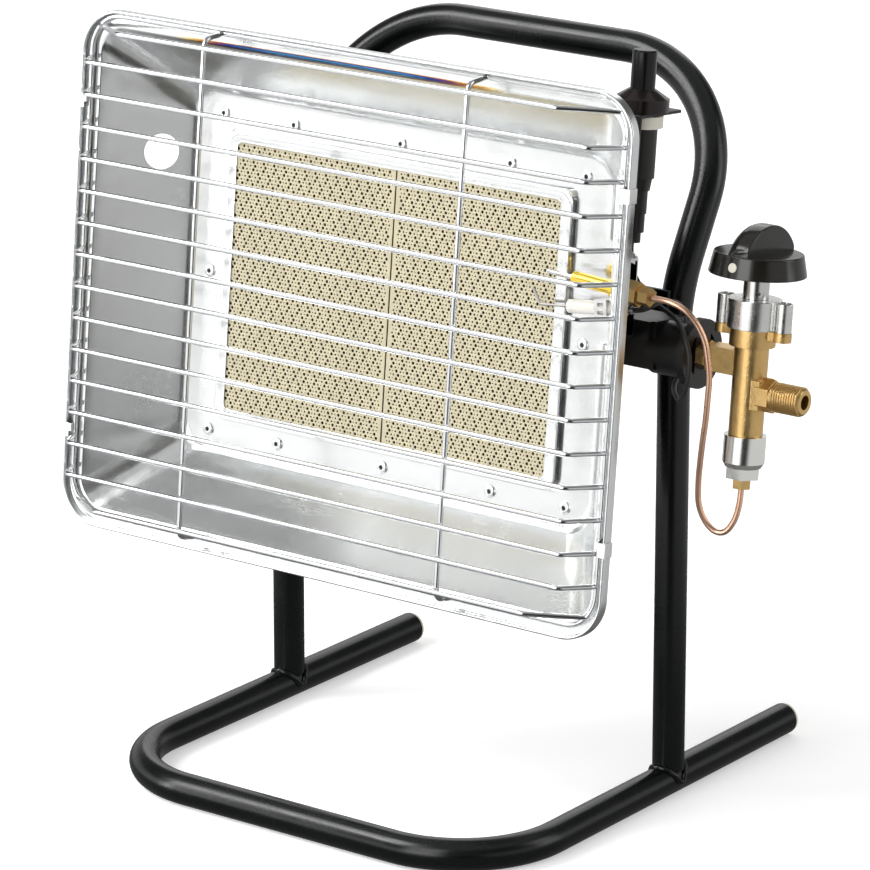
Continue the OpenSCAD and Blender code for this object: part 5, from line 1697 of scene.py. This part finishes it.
# ---------------------------------------------------------------- gas parts
@dataclass
class GasLine:
    """The mixing tube, the injector, the valve and its knob.

    Attributes:
        crest_r: Radius of the thread's crest line.
        grip_round: Radius of the grip's rounded side.
        grip_edge: Radius of the edge of its flat side.
        grip_sink: How deep it stands in the skirt.
        grip_gap: How far it stays inside the skirt's edge.
        knob_gap: How far the knob stays inside its packed outline.
        knob_edge: Radius of the skirt's top edge.
        push: Travel of the pressed knob; not used.
        press: Travel of the igniter's button; not used.
    """

    thread_from: float = 209.6
    thread_to: float = 223.9
    thread_pitch: float = 1.34
    thread_r: float = 6.7
    crest_r: float = 0.42
    inlet_depth: float = 66.0
    inlet_up: float = -11.0
    knob_place: Place = (194.0, 66.0, 45.0)
    knob_d: float = 46.4
    knob_top_d: float = 42.8
    knob_wall: float = 2.0
    skirt_h: float = 10.3
    grip_h: float = 13.3
    grip_t: float = 13.0
    grip_round: float = 6.2
    grip_edge: float = 0.7
    grip_sink: float = 0.6
    grip_gap: float = 0.5
    grip_steps: int = 20
    knob_gap: float = 0.15
    knob_edge: float = 0.9
    bore_d: float = 12.3
    boss_wall: float = 2.4
    push: float = 4.0
    press: float = 6.0

    def thread_path(self) -> Ring:
        """Lists the crest line of the thread on the inlet."""
        steps = 36
        count = int((self.thread_to - self.thread_from) / self.thread_pitch * steps)
        points = []
        for k in range(count + 1):
            a = math.tau * k / steps
            points.append(Vector((self.thread_from + self.thread_pitch * k / steps,
                                  self.inlet_depth + self.thread_r * math.cos(a),
                                  self.inlet_up + self.thread_r * math.sin(a))))
        return points

    def grip(self) -> Shape:
        """Builds the knob's grip, a dome cut flat on one side and rounded on the other."""
        half, high = self.grip_t / 2, self.skirt_h
        dome_r = ((self.knob_top_d / 2) ** 2 + self.grip_h ** 2) / (2 * self.grip_h)
        centre = high + self.grip_h - dome_r
        turns = [math.radians(10 * k) for k in range(10)]
        broad, tight, steps = self.grip_round, self.grip_edge, self.grip_steps
        sections = [(broad * (1 - math.cos(a)) - half, broad * (1 - math.sin(a))) for a in turns]
        sections += [(half - tight * (1 - math.cos(a)), tight * (1 - math.sin(a)))
                     for a in reversed(turns)]
        rings: list[Ring] = []
        for x, inset in sections:
            radius = dome_r - inset
            widest = math.acos((high - self.grip_sink - centre) / radius)
            reach = math.sqrt((self.knob_top_d / 2 - self.grip_gap) ** 2 - x ** 2)
            rings.append([Vector((x, max(-reach, min(reach, radius * math.sin(a))),
                                  centre + radius * math.cos(a)))
                          for a in (widest * (1 - k / steps) for k in range(2 * steps + 1))])
        return skinned(rings)

    def knob(self, shop: Workshop) -> None:
        """Makes the knob from a turned skirt and its grip.

        Args:
            shop: The workshop.
        """
        gap, edge = self.knob_gap, self.knob_edge
        foot, top = self.knob_d / 2 - gap, self.knob_top_d / 2 - gap
        wall, high, bore = self.knob_wall, self.skirt_h, self.bore_d / 2
        boss = bore + self.boss_wall
        profile = [(0.01, high - wall - 1), (bore, high - wall - 1), (bore, 0.2), (boss, 0.2),
                   (boss, high - wall), (top - wall, high - wall), (foot - wall, 0.0),
                   (foot - 0.3, 0.0), (foot, 0.3)]
        profile += [(top - edge * (1 - math.cos(a)), high - edge * (1 - math.sin(a)))
                    for a in (math.radians(15 * k) for k in range(7))]
        skirt = turned(profile + [(0.01, high)], 96)
        grip = bpy.data.meshes.new("grip")
        self.grip().to_mesh(grip)
        skirt.from_mesh(grip)
        bpy.data.meshes.remove(grip)
        lay = shop.head.matrix(*self.knob_place)
        piece = finished("knob_moulded", skirt, lay, shop.material(KNOB_FINISH), 34)
        shop.keep(piece, KNOB, "knob")

    def build(self, shop: Workshop) -> None:
        """Dresses the gas parts.

        Args:
            shop: The workshop.
        """
        shop.dress(IRON, mixing_tube=0.7)
        shop.dress(ZINC, mixing_tube_screws=0, bonnet_screws=0, lead_terminal=0)
        shop.dress(BRASS, valve_body=0.5, valve_plug=0, injector=0, injector_nut=0.3,
                   thermocouple_nut=0.25, thermocouple_fittings=0.25)
        shop.dress(GOLD, thermocouple_sleeve=0.2)
        shop.dress(BONNET, valve_bonnet=0.35)
        shop.dress(STEEL, spindle=0, armature=0, thermocouple_tip=0, electrode_clip=0)
        shop.dress(MAGNET, magnet_unit=0, electrode_wire=0)
        shop.dress(HOUSING, magnet_housing=0.4)
        shop.dress(WHITE, knob_marker=0)
        thread = finished("inlet_thread", swept(self.thread_path(), self.crest_r, 8), shop.head.matrix(),
                          shop.material(BRASS), 60)
        shop.keep(thread)
        shop.spring("spindle_spring", COCK)
        shop.spring("armature_spring", HEATER)
        shop.spring("igniter_spring", HEATER)
        self.knob(shop)


@dataclass
class Leads:
    """The copper lead of the flame guard and the black lead of the igniter."""

    copper_d: float = 2.9
    spark_d: float = 2.4
    steps: int = 8
    sides: int = 16
    copper_route: tuple[Place, ...] = (
        (156, 32, 32), (160, 32, 31.7), (168, 33.5, 31), (175, 36, 28), (180, 39, 22),
        (183.5, 41.5, 14), (185, 43, 5), (185.5, 44.5, -4), (184.5, 46, -14),
        (183, 48, -24), (181, 50, -34), (178.5, 53, -46), (176.5, 56, -57),
        (176, 58.5, -67), (178.5, 61, -75), (183, 63, -79.5), (188, 64.5, -79),
        (191.8, 65.6, -73), (193.6, 66, -65), (194, 66, -57), (194, 66, -54))
    spark_route: tuple[Place, ...] = (
        (123.2, 66, 51), (123.2, 66, 45), (124, 67, 36), (129, 69, 27), (138, 68, 21.5),
        (149, 63, 19.2), (160, 55, 17.5), (168.5, 47.4, 13), (172.6, 45.9, 5),
        (173, 46, -4), (170.5, 48, -13), (165, 53, -18.5), (157, 61, -18.5),
        (149.5, 71, -16.5), (145.5, 80.5, -10.5), (144, 84, 2), (144.5, 83.5, 13),
        (146, 76.5, 21), (148, 65, 24.5), (150.5, 53, 26), (151.8, 44, 25.4),
        (150.6, 38.6, 24.2), (148.4, 37.2, 23.6), (146.6, 37, 23.3))

    def build(self, shop: Workshop) -> None:
        """Sweeps both leads along their routes.

        Args:
            shop: The workshop.
        """
        leads = (("copper_lead", self.copper_route, self.copper_d, COPPER, "copper", "capillary"),
                 ("spark_lead", self.spark_route, self.spark_d, RUBBER, "lead_rubber", "ignition_lead"))
        for name, route, diameter, finish, slot, node in leads:
            bm = swept(smoothed(route, self.steps), diameter / 2, self.sides)
            piece = finished(name, bm, shop.head.matrix(), shop.material(finish), 60)
            shop.keep(piece, stands_for=node)


@dataclass
class Igniter:
    """The push-button igniter, its bracket, and the electrode."""

    def build(self, shop: Workshop) -> None:
        """Dresses the igniter's pieces.

        Args:
            shop: The workshop.
        """
        shop.dress(IRON, igniter_bracket=0.3)
        shop.dress(BODY_PLASTIC, igniter_body=0.4)
        shop.dress(HOOD, igniter_hood=0.8)
        shop.dress(BUTTON, igniter_button=0.6)
        shop.dress(WHITE, igniter_nut=0.4)
        shop.dress(GLAZE, electrode_insulator=0)


def main() -> None:
    """Builds the studio and every sub-assembly."""
    logging.basicConfig(level=logging.INFO, format="%(message)s")
    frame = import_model()
    shop = Workshop(nodes=frame["nodes"])
    Studio().build()
    for assembly in (Leads(), Stand(), Reflector(), Burner(), Guard(), GasLine(), Igniter()):
        assembly.build(shop)
        LOG.info("%s is done", type(assembly).__name__)


if __name__ == "__main__":
    main()
